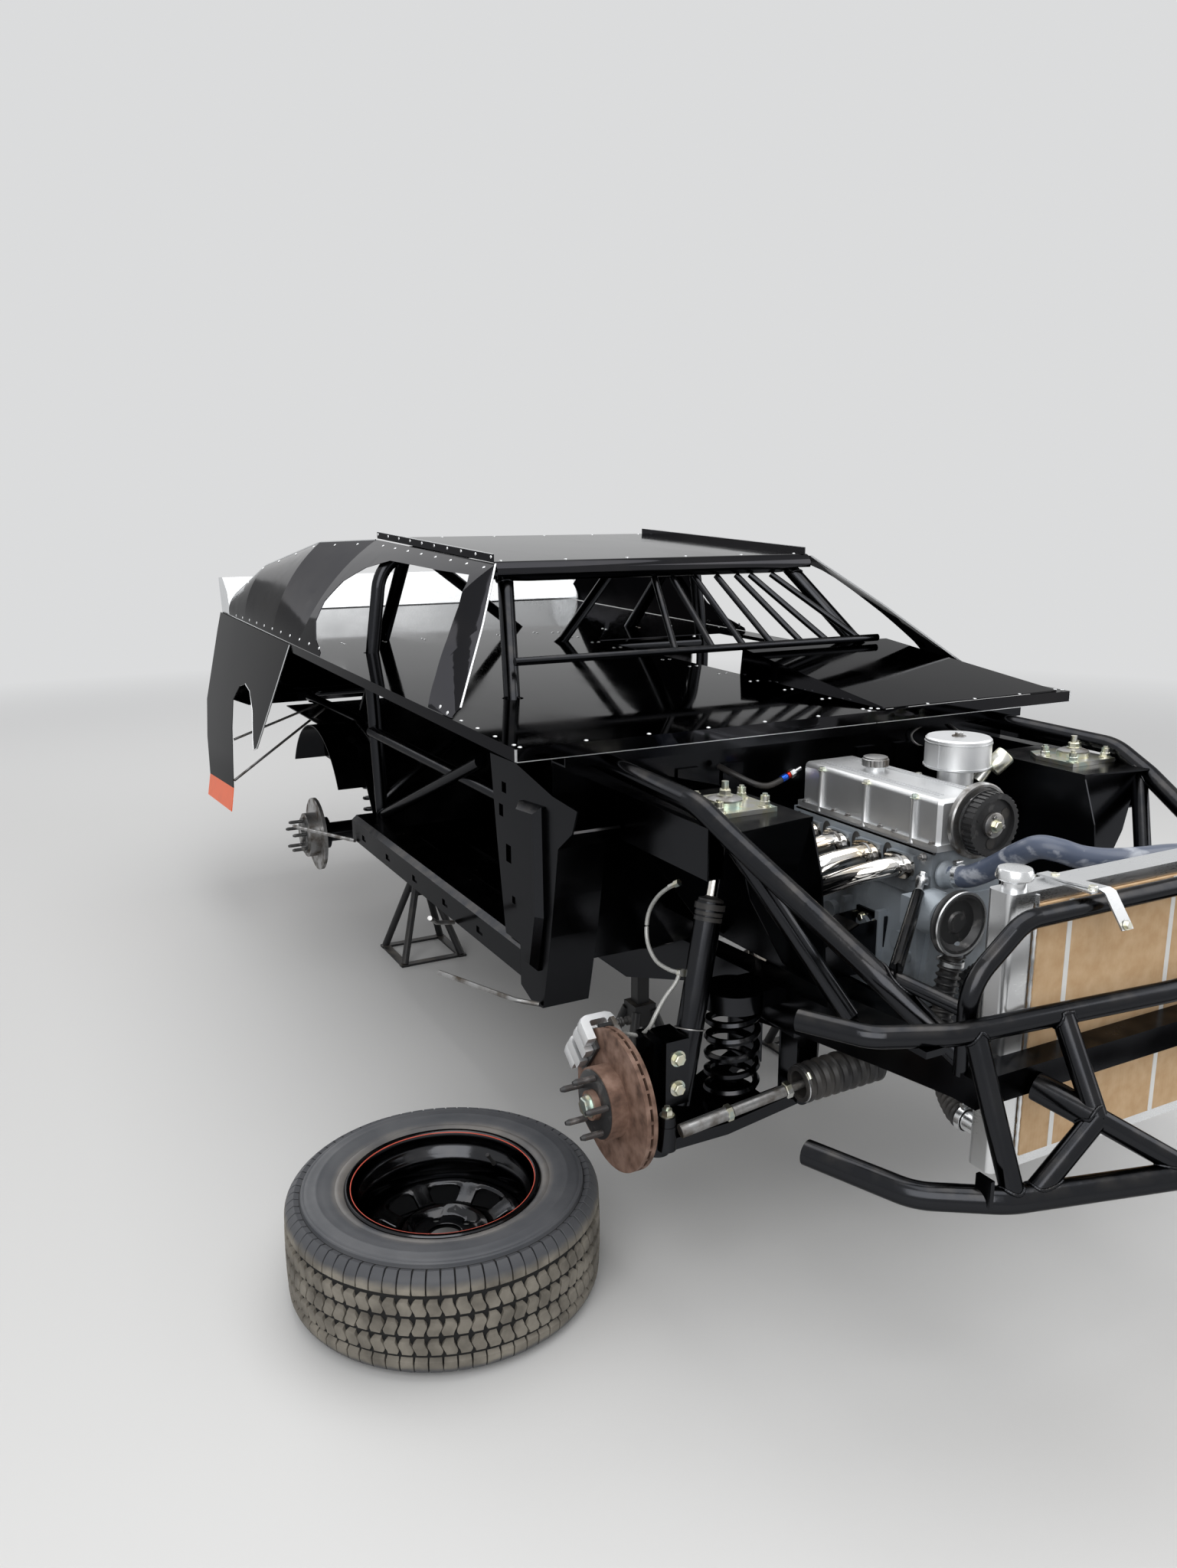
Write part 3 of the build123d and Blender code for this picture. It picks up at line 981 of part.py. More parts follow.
def tie_rod():
    a = Vector(-TIE_PIVOT_X, RACK_Y, RACK_Z)
    b = Vector(ARM_EYE[0], ARM_EYE[1], ARM_EYE[2] - 36)
    along = (b - a).normalized()
    start = a + along * 17
    sleeve_a = a + along * 135
    sleeve_b = a + along * 255
    end = b - along * TIE_GAP
    rod = bar(tuple(start), tuple(end - along * 60), TIE_D)
    sleeve = bar(tuple(sleeve_a), tuple(sleeve_b), 24)
    nut = bar(tuple(sleeve_b + along * 4), tuple(sleeve_b + along * 16), 30)
    tail = bar(tuple(end - along * 110), tuple(end), 28)
    return join([rod, sleeve, nut, tail])


# Rear axle: centre housing, tubes, end flanges and brake brackets
def rear_axle():
    centre = (0, WHEELBASE, REAR_HUB_Z)
    bowl = turned([(0, -112), (96, -112), (128, -60), (128, 60), (96, 112), (0, 112)], centre, (0, 1, 0))
    nose = Plane(origin=(0, WHEELBASE - 90, REAR_HUB_Z + 10), z_dir=(0, -1, 0)).location * Cone(
        84, 42, 150, align=BASE)
    tubes = bar((-REAR_ROTOR_X + 32, WHEELBASE, REAR_HUB_Z), (REAR_ROTOR_X - 32, WHEELBASE, REAR_HUB_Z), 76)
    ends = [bar((s * (REAR_ROTOR_X - 44), WHEELBASE, REAR_HUB_Z),
                (s * (REAR_ROTOR_X - 24), WHEELBASE, REAR_HUB_Z), 124) for s in (-1, 1)]
    spindles = [bar((s * (REAR_ROTOR_X - 30), WHEELBASE, REAR_HUB_Z),
                    (s * (REAR_ROTOR_X - 1), WHEELBASE, REAR_HUB_Z), 50) for s in (-1, 1)]
    pads = [box(s * 460 - 60, s * 460 + 60, WHEELBASE - 45, WHEELBASE + 45,
                REAR_HUB_Z + 30, REAR_HUB_Z + 44) for s in (-1, 1)]
    cover = Plane(origin=(0, WHEELBASE + 110, REAR_HUB_Z), z_dir=(0, 1, 0)).location * Cone(
        106, 70, 34, align=BASE)
    return join([bowl, nose, tubes, cover] + ends + spindles + pads)



def rear_suspension():
    parts = []
    for s in (-1, 1):
        rise = KICK_Z - 70 - (REAR_HUB_Z + 44) - 2 * SEAT
        wire, width = 14.0, 110.0
        path = Helix(pitch=(rise - wire) / 6, height=rise - wire, radius=(width - wire) / 2)
        coil = sweep(Plane(origin=path @ 0, z_dir=path % 0) * RegularPolygon(wire / 2, 6), path=path)
        parts.append(Pos(s * 460, WHEELBASE, REAR_HUB_Z + 44 + SEAT + wire / 2) * coil)
        arm = bar((s * 384, KICK_Y - 60, 452), (s * 384, WHEELBASE, REAR_HUB_Z - 10), 40)
        parts.append(arm.fuse(bar((s * 384, KICK_Y - 60, 452), (s * (460 - RAIL_W / 2 - SEAT), KICK_Y - 60, 452), 24)))
        parts.append(bar((s * 240, KICK_Y + 110, 610), (s * 110, WHEELBASE - 60, REAR_HUB_Z + 108), 32))
    return Compound(parts)


# Driveline: gearbox behind the bell housing, propeller shaft between its two universal joints
SHAFT_D = 70.0
UNIVERSAL_R = 41.0
BOX_END_Y = 1010.0
YOKE_Y = WHEELBASE - 300.0


def driveline():
    gearbox = Plane(origin=(0, ENGINE_REAR_Y + 100 + SEAT, BOX_Z), z_dir=(0, 1, 0)).location * Cone(
        96, 74, 420, align=BASE)
    axle_z = REAR_HUB_Z + 10
    tail = bar((0, 840, BOX_Z), (0, BOX_END_Y, BOX_Z), 84)
    yoke = bar((0, YOKE_Y, axle_z), (0, WHEELBASE - 240 - SEAT, axle_z), 92)
    ends = (0, BOX_END_Y + 15, BOX_Z), (0, YOKE_Y - 15, axle_z)
    shaft = [bar(*ends, SHAFT_D)] + [Pos(*end) * Sphere(UNIVERSAL_R) for end in ends]
    member = box(-RAIL_X + RAIL_W / 2 + SEAT, RAIL_X - RAIL_W / 2 - SEAT, 672, 728, 440, FLOOR_Z - SEAT)
    return Compound([join([gearbox, tail, yoke] + shaft), member])


# Jack stands: four splayed legs, a post and a saddle
STAND_FOOT = 125.0
STANDS = (
    # x, y, height of the saddle
    (-315.0, 700.0, 440.0), (315.0, 700.0, 440.0), (-460.0, 2060.0, 437.9), (460.0, 2060.0, 437.9),
)


def jack_stand(height):
    collar_z = 0.55 * height
    parts = [Pos(0, 0, collar_z + 20) * Box(64, 64, 60)]
    for sx in (-1, 1):
        for sy in (-1, 1):
            parts.append(bar((sx * 26, sy * 26, collar_z + 30), (sx * (STAND_FOOT - 16), sy * (STAND_FOOT - 16), 8), 26))
    for s in (-1, 1):
        parts.append(box(-STAND_FOOT, STAND_FOOT, s * (STAND_FOOT - 16) - 14, s * (STAND_FOOT - 16) + 14, 0, 8))
        parts.append(box(s * (STAND_FOOT - 16) - 14, s * (STAND_FOOT - 16) + 14, -STAND_FOOT, STAND_FOOT, 0, 8))
    parts.append(box(-18, 18, -18, 18, collar_z, height - 18))
    saddle = box(-50, 50, -28, 28, height - 18 - SEAT, height - SEAT)
    return join(parts + [saddle])


# Loose wheel lying on its side
TYRE_PROFILE = (
    # radius, height above the floor
    (RIM_R - 12, 24), (RIM_R + 8, 8), (RIM_R + 52, 0), (TYRE_R - 34, 2), (TYRE_R - 9, 16), (TYRE_R - 2, 40),
    (TYRE_R, TYRE_W / 2), (TYRE_R - 2, TYRE_W - 40), (TYRE_R - 9, TYRE_W - 16), (TYRE_R - 34, TYRE_W - 2),
    (RIM_R + 52, TYRE_W), (RIM_R + 8, TYRE_W - 8), (RIM_R - 12, TYRE_W - 24),
    (RIM_R - 12, TYRE_W - 34), (TYRE_R - 40, TYRE_W - 20), (TYRE_R - 16, TYRE_W / 2), (TYRE_R - 40, 20), (RIM_R - 12, 34),
)


def loose_tyre():
    return turned([(r, h) for r, h in TYRE_PROFILE], (LOOSE_X, LOOSE_Y, 0), (0, 0, 1))


WHEEL_SLOTS = 10
WHEEL_HOLE_R = 8.0
WHEEL_BORE_R = 36.0
RIM_FACE_Z = 98.0
RIM_DISC_T = 6.0


def loose_rim():
    r0 = RIM_R - 12 - SEAT
    barrel = [
        (RIM_R, TYRE_W - 7), (RIM_R, TYRE_W - 12), (r0, TYRE_W - 12), (r0, TYRE_W - 40), (r0 - 18, TYRE_W - 56),
        (r0 - 18, 56), (r0, 42), (r0, 14), (RIM_R, 14), (RIM_R, 7), (r0 - 5, 7), (r0 - 5, 40), (r0 - 23, 54),
        (r0 - 23, TYRE_W - 54), (r0 - 5, TYRE_W - 38), (r0 - 5, TYRE_W - 7),
    ]
    body = turned(barrel, (0, 0, 0), (0, 0, 1))
    low = RIM_FACE_Z - RIM_DISC_T
    disc = turned([(WHEEL_BORE_R, low), (72, low), (88, 84), (140, 106), (r0 - 20, 104), (r0 - 20, 110), (138, 112),
                   (86, 90), (74, RIM_FACE_Z), (WHEEL_BORE_R, RIM_FACE_Z)], (0, 0, 0), (0, 0, 1))
    for a, px, py in ring(124, WHEEL_SLOTS):
        disc = disc.cut(Pos(px, py, 100) * Rot(0, 0, a) * fillet(Box(34, 44, 60).edges().filter_by(Axis.Z), 14))
    for a, px, py in ring(STUD_PCD / 2, STUD_COUNT, 0.3):
        disc = disc.cut(Pos(px, py, 90) * Cylinder(WHEEL_HOLE_R, 40))
    return Pos(LOOSE_X, LOOSE_Y, 0) * join([body, disc])


# Where a tube or sheet is cut to meet another: the piece that is cut, and what it meets
NOTCHES = (
    ("deck_right", "roll_cage"), ("deck_left", "roll_cage"), ("deck_rear", "roll_cage"),
    ("firewall", "front_hoops"), ("firewall", "frame_rails"), ("aprons", "front_hoops"), ("front_hoops", "frame_rails"),
    ("roll_cage", "sills"), ("roll_cage", "floor_pan"), ("roll_cage", "frame_rails"), ("body_braces", "roll_cage"),
    ("body_braces", "floor_pan"), ("bumper", "frame_rails"), ("rear_suspension", "rear_axle"),
    ("windshield_bars", "roll_cage"), ("floor_pan", "frame_rails"), ("quarter_panels", "sail_panels"),
    ("sail_panels", "deck_right"), ("sail_panels", "deck_left"), ("sail_panels", "deck_rear"), ("tail_panel", "deck_rear"),
)


def whittled(shape, tool):
    """Shape with the tool's room cut from it, crumbs dropped."""
    pieces = shape - tool
    solids = [piece for piece in pieces.solids() if piece.volume > 400]
    return Compound(solids)


def assembly():
    """Every node's shape in the car frame, by name."""
    shapes = {
        "floor_pan": floor_pan(), "firewall": firewall(), "sills": both(sill()),
        "hinge_pillars": both(hinge_pillar()), "aprons": both(apron()), "frame_rails": frame_rails(),
        "roll_cage": roll_cage(), "windshield_bars": windshield_bars(), "front_hoops": front_hoops(),
        "bumper": bumper(), "deck_right": deck_right(), "deck_left": deck_left(), "deck_rear": deck_rear(),
        "roof_panel": roof(), "sail_panels": both(sail_panel()), "quarter_panels": both(quarter_panel()),
        "quarter_skirts": both(quarter_skirt()), "spoiler": spoiler(), "tail_panel": tail_panel(),
        "body_braces": body_braces(), "camber_plates": both(camber_plate()),
        "engine": engine(), "valve_cover": valve_cover(), "header": header(), "intake": intake(),
        "timing_drive": timing_drive(), "driveline": driveline(),
        "radiator": radiator(), "radiator_cover": radiator_cover(), "upper_hose": hoses(),
        "lower_arms": both(lower_arm()), "front_springs": both(front_spring()),
        "rack_housing": rack_housing(), "rack_bellows": both(bellows()), "rack_bar": rack_bar(),
        "rear_axle": rear_axle(), "rear_suspension": rear_suspension(),
        "jack_stands": Compound([Pos(x, y, 0) * jack_stand(h) for x, y, h in STANDS]),
        "loose_tyre": loose_tyre(), "loose_rim": loose_rim(),
    }
    for name, tool in NOTCHES:
        shapes[name] = whittled(shapes[name], shapes[tool])
    for name, shape in (("knuckle", knuckle()), ("caliper", caliper()), ("tie_rod", tie_rod())):
        shapes[name + "_right"] = shape
        shapes[name + "_left"] = mirrored(shape)
    for name, hub in (("hub_front", front_hub), ("hub_rear", rear_hub)):
        shapes[name + "_right"] = hub(HUB_TURN_RIGHT)
        shapes[name + "_left"] = mirrored(hub(HUB_TURN_LEFT))
    return shapes


def write_parts(shapes):
    """Write each node about the middle of the whole object's footprint; give that offset."""
    whole = Compound(list(shapes.values())).bounding_box()
    shift = Vector(-(whole.min.X + whole.max.X) / 2, -(whole.min.Y + whole.max.Y) / 2, -whole.min.Z)
    for name, shape in shapes.items():
        export_step(Pos(*shift) * shape, "parts/" + name + ".step")
    return shift


SHAPES = assembly()
SHIFT = write_parts(SHAPES)
print("shift", SHIFT)
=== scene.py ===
"""Looks of a dirt-track stock car standing half built on four jack stands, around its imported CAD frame."""
import json
import math

import bmesh
import bpy
import numpy as np
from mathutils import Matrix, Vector


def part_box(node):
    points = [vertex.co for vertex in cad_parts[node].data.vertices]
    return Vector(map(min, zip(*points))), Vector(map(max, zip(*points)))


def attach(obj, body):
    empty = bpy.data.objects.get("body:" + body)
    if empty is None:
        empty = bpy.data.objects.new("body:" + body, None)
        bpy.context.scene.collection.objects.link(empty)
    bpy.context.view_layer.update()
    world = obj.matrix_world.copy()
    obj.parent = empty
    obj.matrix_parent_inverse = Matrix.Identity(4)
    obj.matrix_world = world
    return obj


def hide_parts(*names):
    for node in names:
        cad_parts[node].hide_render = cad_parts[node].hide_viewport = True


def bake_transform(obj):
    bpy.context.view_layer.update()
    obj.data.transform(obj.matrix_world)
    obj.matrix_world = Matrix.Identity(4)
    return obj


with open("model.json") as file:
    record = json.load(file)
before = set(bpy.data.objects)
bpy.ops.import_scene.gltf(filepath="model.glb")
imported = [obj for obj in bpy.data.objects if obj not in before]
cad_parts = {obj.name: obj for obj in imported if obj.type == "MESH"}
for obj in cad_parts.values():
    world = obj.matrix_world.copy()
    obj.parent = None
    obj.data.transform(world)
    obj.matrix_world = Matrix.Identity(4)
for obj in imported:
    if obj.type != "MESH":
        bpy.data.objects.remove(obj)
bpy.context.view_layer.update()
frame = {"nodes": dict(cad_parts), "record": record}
NODES = frame["nodes"]
SLOT_OF = {part["node"]: part["material_slot"] for part in frame["record"]["subparts"]}


# ---- places: mm left of the middle of the front axle line, behind it and above the floor ----

def middle(node):
    """Middle of a CAD node's box, in metres."""
    low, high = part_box(node)
    return (np.array(low) + np.array(high)) / 2


MM = 0.001
AXLE = (middle("hub_front_left") + middle("hub_front_right")) / 2 * (1, 1, 0)
SIDES = (("right", 1), ("left", -1))
UP, FRONT = (0.0, 0.0, 1.0), (0.0, -1.0, 0.0)


def at(*point):
    """Place in the shared frame, in metres, of a point in mm."""
    return np.asarray(point, float) * MM + AXLE


def flipped(points, side):
    """Points of the right side moved to the given side, 1 for right and -1 for left."""
    return np.asarray(points, float) * (side, 1, 1)


# ---- shader maths ----

class Value:
    """A socket whose operators add Math nodes, so that a mask is written as a formula."""

    def __init__(self, finish, socket):
        self.finish = finish
        self.socket = socket

    def math(self, operation, *others, first=None):
        """A Math node's result, with this socket as its first term or after the first one given."""
        terms = [self, *others] if first is None else [first, self]
        return self.finish.node("ShaderNodeMath", {"operation": operation}, dict(enumerate(terms)))

    def __add__(self, other):
        return self.math("ADD", other)

    def __sub__(self, other):
        return self.math("SUBTRACT", other)

    def __mul__(self, other):
        return self.math("MULTIPLY", other)

    def __pow__(self, other):
        return self.math("POWER", other)

    def __rsub__(self, other):
        return self.math("SUBTRACT", first=other)

    def sin(self):
        return self.math("SINE")

    def clipped(self, low, high):
        """0 up to low, 1 from high on, and even between them; high may be the smaller."""
        return self.finish.node("ShaderNodeMapRange", {"clamp": True}, {
            "Value": self, "From Min": low, "From Max": high})


class Finish:
    """One material round a Principled shader, built from nodes by name."""

    def __init__(self, name, **shader):
        self.material = bpy.data.materials.new(name)
        self.material.use_nodes = True
        self.tree = self.material.node_tree
        self.shader = self.tree.nodes["Principled BSDF"]
        self.place = self.node("ShaderNodeTexCoord", output="Object")
        self.set(**shader)

    def node(self, kind, settings=None, values=None, output=0):
        """Any node: its settings are made first, then its sockets take values or links."""
        made = self.tree.nodes.new(kind)
        for key, value in (settings or {}).items():
            if key == "stops":
                while len(made.color_ramp.elements) < len(value):
                    made.color_ramp.elements.new(0.5)
                for stop, (spot, colour) in zip(made.color_ramp.elements, value):
                    stop.position = spot
                    stop.color = (*colour, 1.0)
            else:
                setattr(made, key, value)
        for key, value in (values or {}).items():
            self.join(value, made.inputs[key])
        return Value(self, made.outputs[output])

    def join(self, value, socket):
        if isinstance(value, Value):
            self.tree.links.new(value.socket, socket)
        elif isinstance(value, tuple) and len(value) == 3 and socket.type == "RGBA":
            socket.default_value = (*value, 1.0)
        else:
            socket.default_value = value

    def set(self, **values):
        """Sockets of the shader, by name with _ for a blank."""
        for key, value in values.items():
            self.join(value, self.shader.inputs[key.replace("_", " ")])
        return self

    def noise(self, scale, detail, stretch=(1.0, 1.0, 1.0)):
        """Fractal noise from 0 to 1; scale is in spots per metre."""
        spot = self.node("ShaderNodeMapping", values={"Vector": self.place, "Scale": stretch})
        return self.node("ShaderNodeTexNoise", values={"Vector": spot, "Scale": scale, "Detail": detail})

    def axis(self, letter):
        return self.node("ShaderNodeSeparateXYZ", values={"Vector": self.place}, output=letter)

    def up(self):
        """Share of the surface that faces up, where dust settles."""
        normal = self.node("ShaderNodeNewGeometry", output="Normal")
        return self.node("ShaderNodeSeparateXYZ", values={"Vector": normal}, output="Z").clipped(0.2, 1.0)

    def mix(self, mask, a, b):
        """Colour a where the mask is 0 and b where it is 1."""
        a, b = (value if isinstance(value, Value) else (*value, 1.0) for value in (a, b))
        return self.node("ShaderNodeMix", {"data_type": "RGBA"}, {0: mask, 6: a, 7: b}, 2)

    def ramp(self, mask, *stops):
        return self.node("ShaderNodeValToRGB", {"stops": stops}, {"Fac": mask})

    def bump(self, height, depth, strength):
        """Relief of a height from 0 to 1, that many metres deep."""
        values = {"Height": height, "Distance": depth, "Strength": strength}
        return self.set(Normal=self.node("ShaderNodeBump", values=values))


# ---- finishes, one function or row for each ----

DUST = (0.34, 0.30, 0.25)


def sprayed(name, colour, rough, dust, dull=0.12, matt=0.6, ripple=0.10, **shader):
    """Gloss paint with dull patches, thin dust on top and a slight waviness."""
    f = Finish(name, **shader)
    film = f.up() * f.noise(23.0, 6.0).clipped(0.42, 0.72) * dust
    patches = f.noise(9.0, 5.0).clipped(0.3, 0.8)
    f.set(Base_Color=f.mix(film, colour, DUST), Roughness=patches * dull + rough + film * matt)
    return f.bump(f.noise(260.0, 2.0), 0.0005, ripple)


def gloss_black(name, colour, rough, dust):
    """Gloss black as a dark mirror that reflects little at its edges."""
    return sprayed(name, colour, rough, dust, Metallic=1.0, Specular_Tint=(0.55, 0.55, 0.55))


def chassis_black():
    return gloss_black("chassis_black", (0.029, 0.030, 0.033), 0.14, 0.10)


def wheel_black():
    return gloss_black("wheel_black", (0.040, 0.041, 0.044), 0.09, 0.06)


def stand_paint():
    return sprayed("stand_paint", (0.013, 0.013, 0.014), 0.40, 0.28, 0.14, 0.5, 0.12, Specular_IOR_Level=0.33)


def panel_black():
    """Pre-painted sheet: near-mirror black with faint waves, wiped smears and hair scratches."""
    f = Finish("panel_black", Metallic=1.0, Specular_Tint=(0.5, 0.5, 0.5))
    smear = f.noise(3.5, 6.0, (1.0, 0.35, 1.0)).clipped(0.48, 0.75)
    hair = f.noise(60.0, 2.0, (12.0, 0.6, 12.0)).clipped(0.66, 0.72)
    f.set(Base_Color=f.mix(smear * 0.03, (0.030, 0.030, 0.033), DUST),
          Roughness=smear * 0.10 + hair * 0.06 + 0.045)
    return f.bump(f.noise(1.7, 1.0), 0.006, 0.10)


def bare_aluminium():
    """Bare sheet, grained, with darker stains."""
    f = Finish("bare_aluminium", Metallic=1.0)
    grain = f.noise(90.0, 4.0, (1.0, 1.0, 9.0))
    stain = f.noise(6.0, 5.0).clipped(0.35, 0.8)
    f.set(Base_Color=f.mix(stain * 0.6, (0.74, 0.75, 0.76), (0.5328, 0.54, 0.5472)),
          Roughness=grain * 0.16 + stain * 0.14 + 0.18)
    return f.bump(grain, 0.0002, 0.25)


def cast_aluminium():
    """Sand casting: even fine grain, satin, greyer where hands and oil have been."""
    f = Finish("cast_aluminium", Metallic=0.85)
    grain = f.noise(420.0, 3.0)
    oil = f.noise(7.0, 6.0).clipped(0.4, 0.75)
    f.set(Base_Color=f.mix(oil * 0.35, (0.74, 0.75, 0.76), (0.50, 0.50, 0.50)), Roughness=grain * 0.12 + 0.33)
    return f.bump(grain, 0.0006, 0.35)


def header_chrome():
    """Polished pipe with a faint straw tint that comes and goes along it."""
    f = Finish("header_chrome", Metallic=1.0)
    tint = f.noise(11.0, 3.0).clipped(0.42, 0.7)
    return f.set(Base_Color=f.mix(tint, (0.83, 0.82, 0.80), (0.70, 0.60, 0.46)),
                 Roughness=f.noise(40.0, 4.0).clipped(0.3, 0.9) * 0.07 + 0.045)


def rotor_rust():
    """Fresh rust bloom on turned iron: a mottled brown film with a fine grain."""
    f = Finish("rotor_rust", Metallic=0.35)
    mottle = f.noise(34.0, 7.0)
    rust = f.ramp(mottle, (0.30, (0.080, 0.045, 0.032)), (0.48, (0.170, 0.100, 0.072)),
                  (0.66, (0.25, 0.160, 0.122)))
    f.set(Base_Color=rust, Roughness=0.75 - mottle.clipped(0.3, 0.7) * 0.22)
    return f.bump(f.noise(300.0, 3.0), 0.0005, 0.4)


def zinc_plate():
    """Passivated zinc: silver with straw and faint green patches."""
    f = Finish("zinc_plate", Metallic=1.0, Roughness=0.3)
    cloud = f.noise(28.0, 3.0)
    return f.set(Base_Color=f.ramp(cloud, (0.38, (0.66, 0.66, 0.63)), (0.5, (0.66, 0.64, 0.50)),
                                   (0.62, (0.52, 0.60, 0.55))))


def rubber(name, colour, rough, dust=0.0):
    """Moulded rubber with a fine grain, under clouds of dust."""
    f = Finish(name, Specular_IOR_Level=0.35)
    film = f.noise(14.0, 6.0).clipped(0.4, 0.75) * dust
    f.set(Base_Color=f.mix(film, colour, DUST), Roughness=f.noise(60.0, 3.0) * 0.15 + rough)
    return f.bump(f.noise(500.0, 2.0), 0.0003, 0.3)


def boot_rubber():
    return rubber("boot_rubber", (0.014, 0.014, 0.015), 0.36, 0.12)


# Near-black painted shade for the floor of the tread grooves, darker than the tyre's own rubber.
def groove_painted_shade():
    return rubber("groove_painted_shade", (0.008, 0.008, 0.008), 0.75)


def tyre_rubber():
    """Sidewall rubber, greyed by handling and browned in a ring beside the bead. Radii in metres."""
    f = Finish("tyre_rubber", Specular_IOR_Level=0.35)
    wheel = middle("loose_tyre")
    reach = ((f.axis("X") - wheel[0]) ** 2 + (f.axis("Y") - wheel[1]) ** 2) ** 0.5
    cloud = f.noise(9.0, 6.0)
    bead = reach.clipped(0.236, 0.224) * cloud.clipped(0.3, 0.7) * 0.35
    grey = f.mix(cloud.clipped(0.38, 0.7), (0.058, 0.061, 0.068), (0.088, 0.090, 0.096))
    f.set(Base_Color=f.mix(bead, grey, DUST), Roughness=f.noise(60.0, 3.0) * 0.15 + 0.38)
    return f.bump(f.noise(500.0, 2.0), 0.0003, 0.3)


def tyre_tread():
    """Block tops browned by dried dust between two heights in metres, rubber grey past the shoulders."""
    f = Finish("tyre_tread", Specular_IOR_Level=0.3)
    height = f.axis("Z")
    ragged = f.noise(30.0, 3.0) * 0.016
    worn = (height + ragged).clipped(0.220, 0.206) * (height - ragged).clipped(0.014, 0.026)
    dusty = f.mix(f.noise(17.0, 6.0).clipped(0.35, 0.7), (0.110, 0.100, 0.084), (0.235, 0.215, 0.180))
    return f.set(Base_Color=f.mix(worn, (0.062, 0.064, 0.070), dusty), Roughness=worn * 0.25 + 0.48)


def hose_grey():
    """Braided line in a clear sleeve: fine weave in pale grey."""
    f = Finish("hose_grey", Roughness=0.36, Metallic=0.3)
    weave = f.noise(900.0, 1.0)
    f.set(Base_Color=f.mix(weave.clipped(0.35, 0.65), (0.20, 0.20, 0.19), (0.46, 0.46, 0.44)))
    return f.bump(weave, 0.0003, 0.4)


FLUTE_PITCH = 0.008  # metres


def card():
    """Corrugated cardboard: kraft brown with faint flutes and scuffed paper."""
    f = Finish("card", Roughness=0.82, Specular_IOR_Level=0.25)
    flutes = (f.axis("X") * (2 * math.pi / FLUTE_PITCH)).sin() * 0.5 + 0.5
    f.set(Base_Color=f.mix(f.noise(38.0, 7.0).clipped(0.35, 0.7), (0.52, 0.34, 0.185), (0.60, 0.42, 0.25)))
    return f.bump(flutes, 0.0006, 0.25)


def skirt_orange():
    """Orange sheet with darker scuffs."""
    f = Finish("skirt_orange", Roughness=0.38)
    scuff = f.noise(12.0, 5.0).clipped(0.5, 0.8) * 0.25
    return f.set(Base_Color=f.mix(scuff, (0.90, 0.12, 0.012), (0.5, 0.1, 0.03)))


MOTTLED = {
    # two colours, noise of the mask between them, its span and strength, roughness and what the mask adds to
    # it, then noise, depth and strength of the relief, and sockets
    "engine_grey": ((0.26, 0.29, 0.32), (0.05, 0.05, 0.05), (8.0, 7.0), (0.52, 0.72), 0.75, 0.46, -0.18,
                    (230.0, 4.0), 0.001, 0.4, {"Metallic": 0.25}),
    "worn_steel": ((0.34, 0.34, 0.34), (0.085, 0.07, 0.055), (26.0, 7.0), (0.4, 0.68), 1.0, 0.3, 0.35,
                   (190.0, 4.0), 0.0006, 0.35, {"Metallic": 0.9}),
    "cog_black": ((0.040, 0.040, 0.041), (0.26, 0.25, 0.24), (34.0, 6.0), (0.56, 0.74), 0.6, 0.42, -0.12,
                  (210.0, 3.0), 0.0004, 0.25, {"Metallic": 0.55}),
    "hose_rubber": ((0.075, 0.092, 0.135), (0.42, 0.44, 0.48), (26.0, 8.0, (0.6, 1.0, 1.6)), (0.55, 0.68),
                    0.75, 0.30, 0.25, (240.0, 3.0), 0.0004, 0.3, {"Specular_IOR_Level": 0.4}),
}
PLAIN = {
    # colour, roughness, metallic
    "rim_line_red": ((0.56, 0.085, 0.050), 0.4, 0.0),
    "band_white": ((0.74, 0.74, 0.72), 0.4, 0.0),
    "anodised_blue": ((0.02, 0.11, 0.62), 0.25, 0.8),
    "anodised_red": ((0.55, 0.03, 0.02), 0.25, 0.8),
}


def mottled(name, base, spots, noise, span, strength, rough, shift, grain, depth, relief, sockets):
    """Two colours mixed by a clipped noise, which also shifts the roughness, over a fine grain."""
    f = Finish(name, **sockets)
    mask = f.noise(*noise).clipped(*span)
    f.set(Base_Color=f.mix(mask * strength, base, spots), Roughness=mask * shift + rough)
    return f.bump(f.noise(*grain), depth, relief)


MAKERS = (
    chassis_black, panel_black, bare_aluminium, cast_aluminium, header_chrome, rotor_rust, zinc_plate,
    boot_rubber, hose_grey, tyre_rubber, tyre_tread, groove_painted_shade, wheel_black, card, skirt_orange,
    stand_paint,
)
FINISHES = {maker.__name__: maker().material for maker in MAKERS}
FINISHES.update({name: mottled(name, *row).material for name, row in MOTTLED.items()})
FINISHES.update({name: Finish(name, Base_Color=colour, Roughness=rough, Metallic=metallic).material
                 for name, (colour, rough, metallic) in PLAIN.items()})

for node, obj in NODES.items():
    obj.data.materials.clear()
    obj.data.materials.append(FINISHES["cog_black" if node == "timing_drive" else SLOT_OF[node]])


# ---- surfaces: every shape below is whole arrays of points in mm on a grid ----

def grid_faces(rows, cols, ring_rows=False, ring_cols=False):
    """Faces with four sides between neighbours of a grid; a ring joins the last line to the first."""
    i = np.arange(rows if ring_rows else rows - 1)[:, None]
    j = np.arange(cols if ring_cols else cols - 1)[None, :]
    below, right = (i + 1) % rows, (j + 1) % cols
    corners = np.broadcast_arrays(i * cols + j, i * cols + right, below * cols + right, below * cols + j)
    return np.stack(corners, -1).reshape(-1, 4).tolist()


def merged(shapes):
    """Several (points, faces) as one."""
    points, faces, start = [], [], 0
    for spots, sides in shapes:
        points.append(np.asarray(spots, float).reshape(-1, 3))
        faces += [[i + start for i in side] for side in sides]
        start += len(points[-1])
    return np.concatenate(points), faces


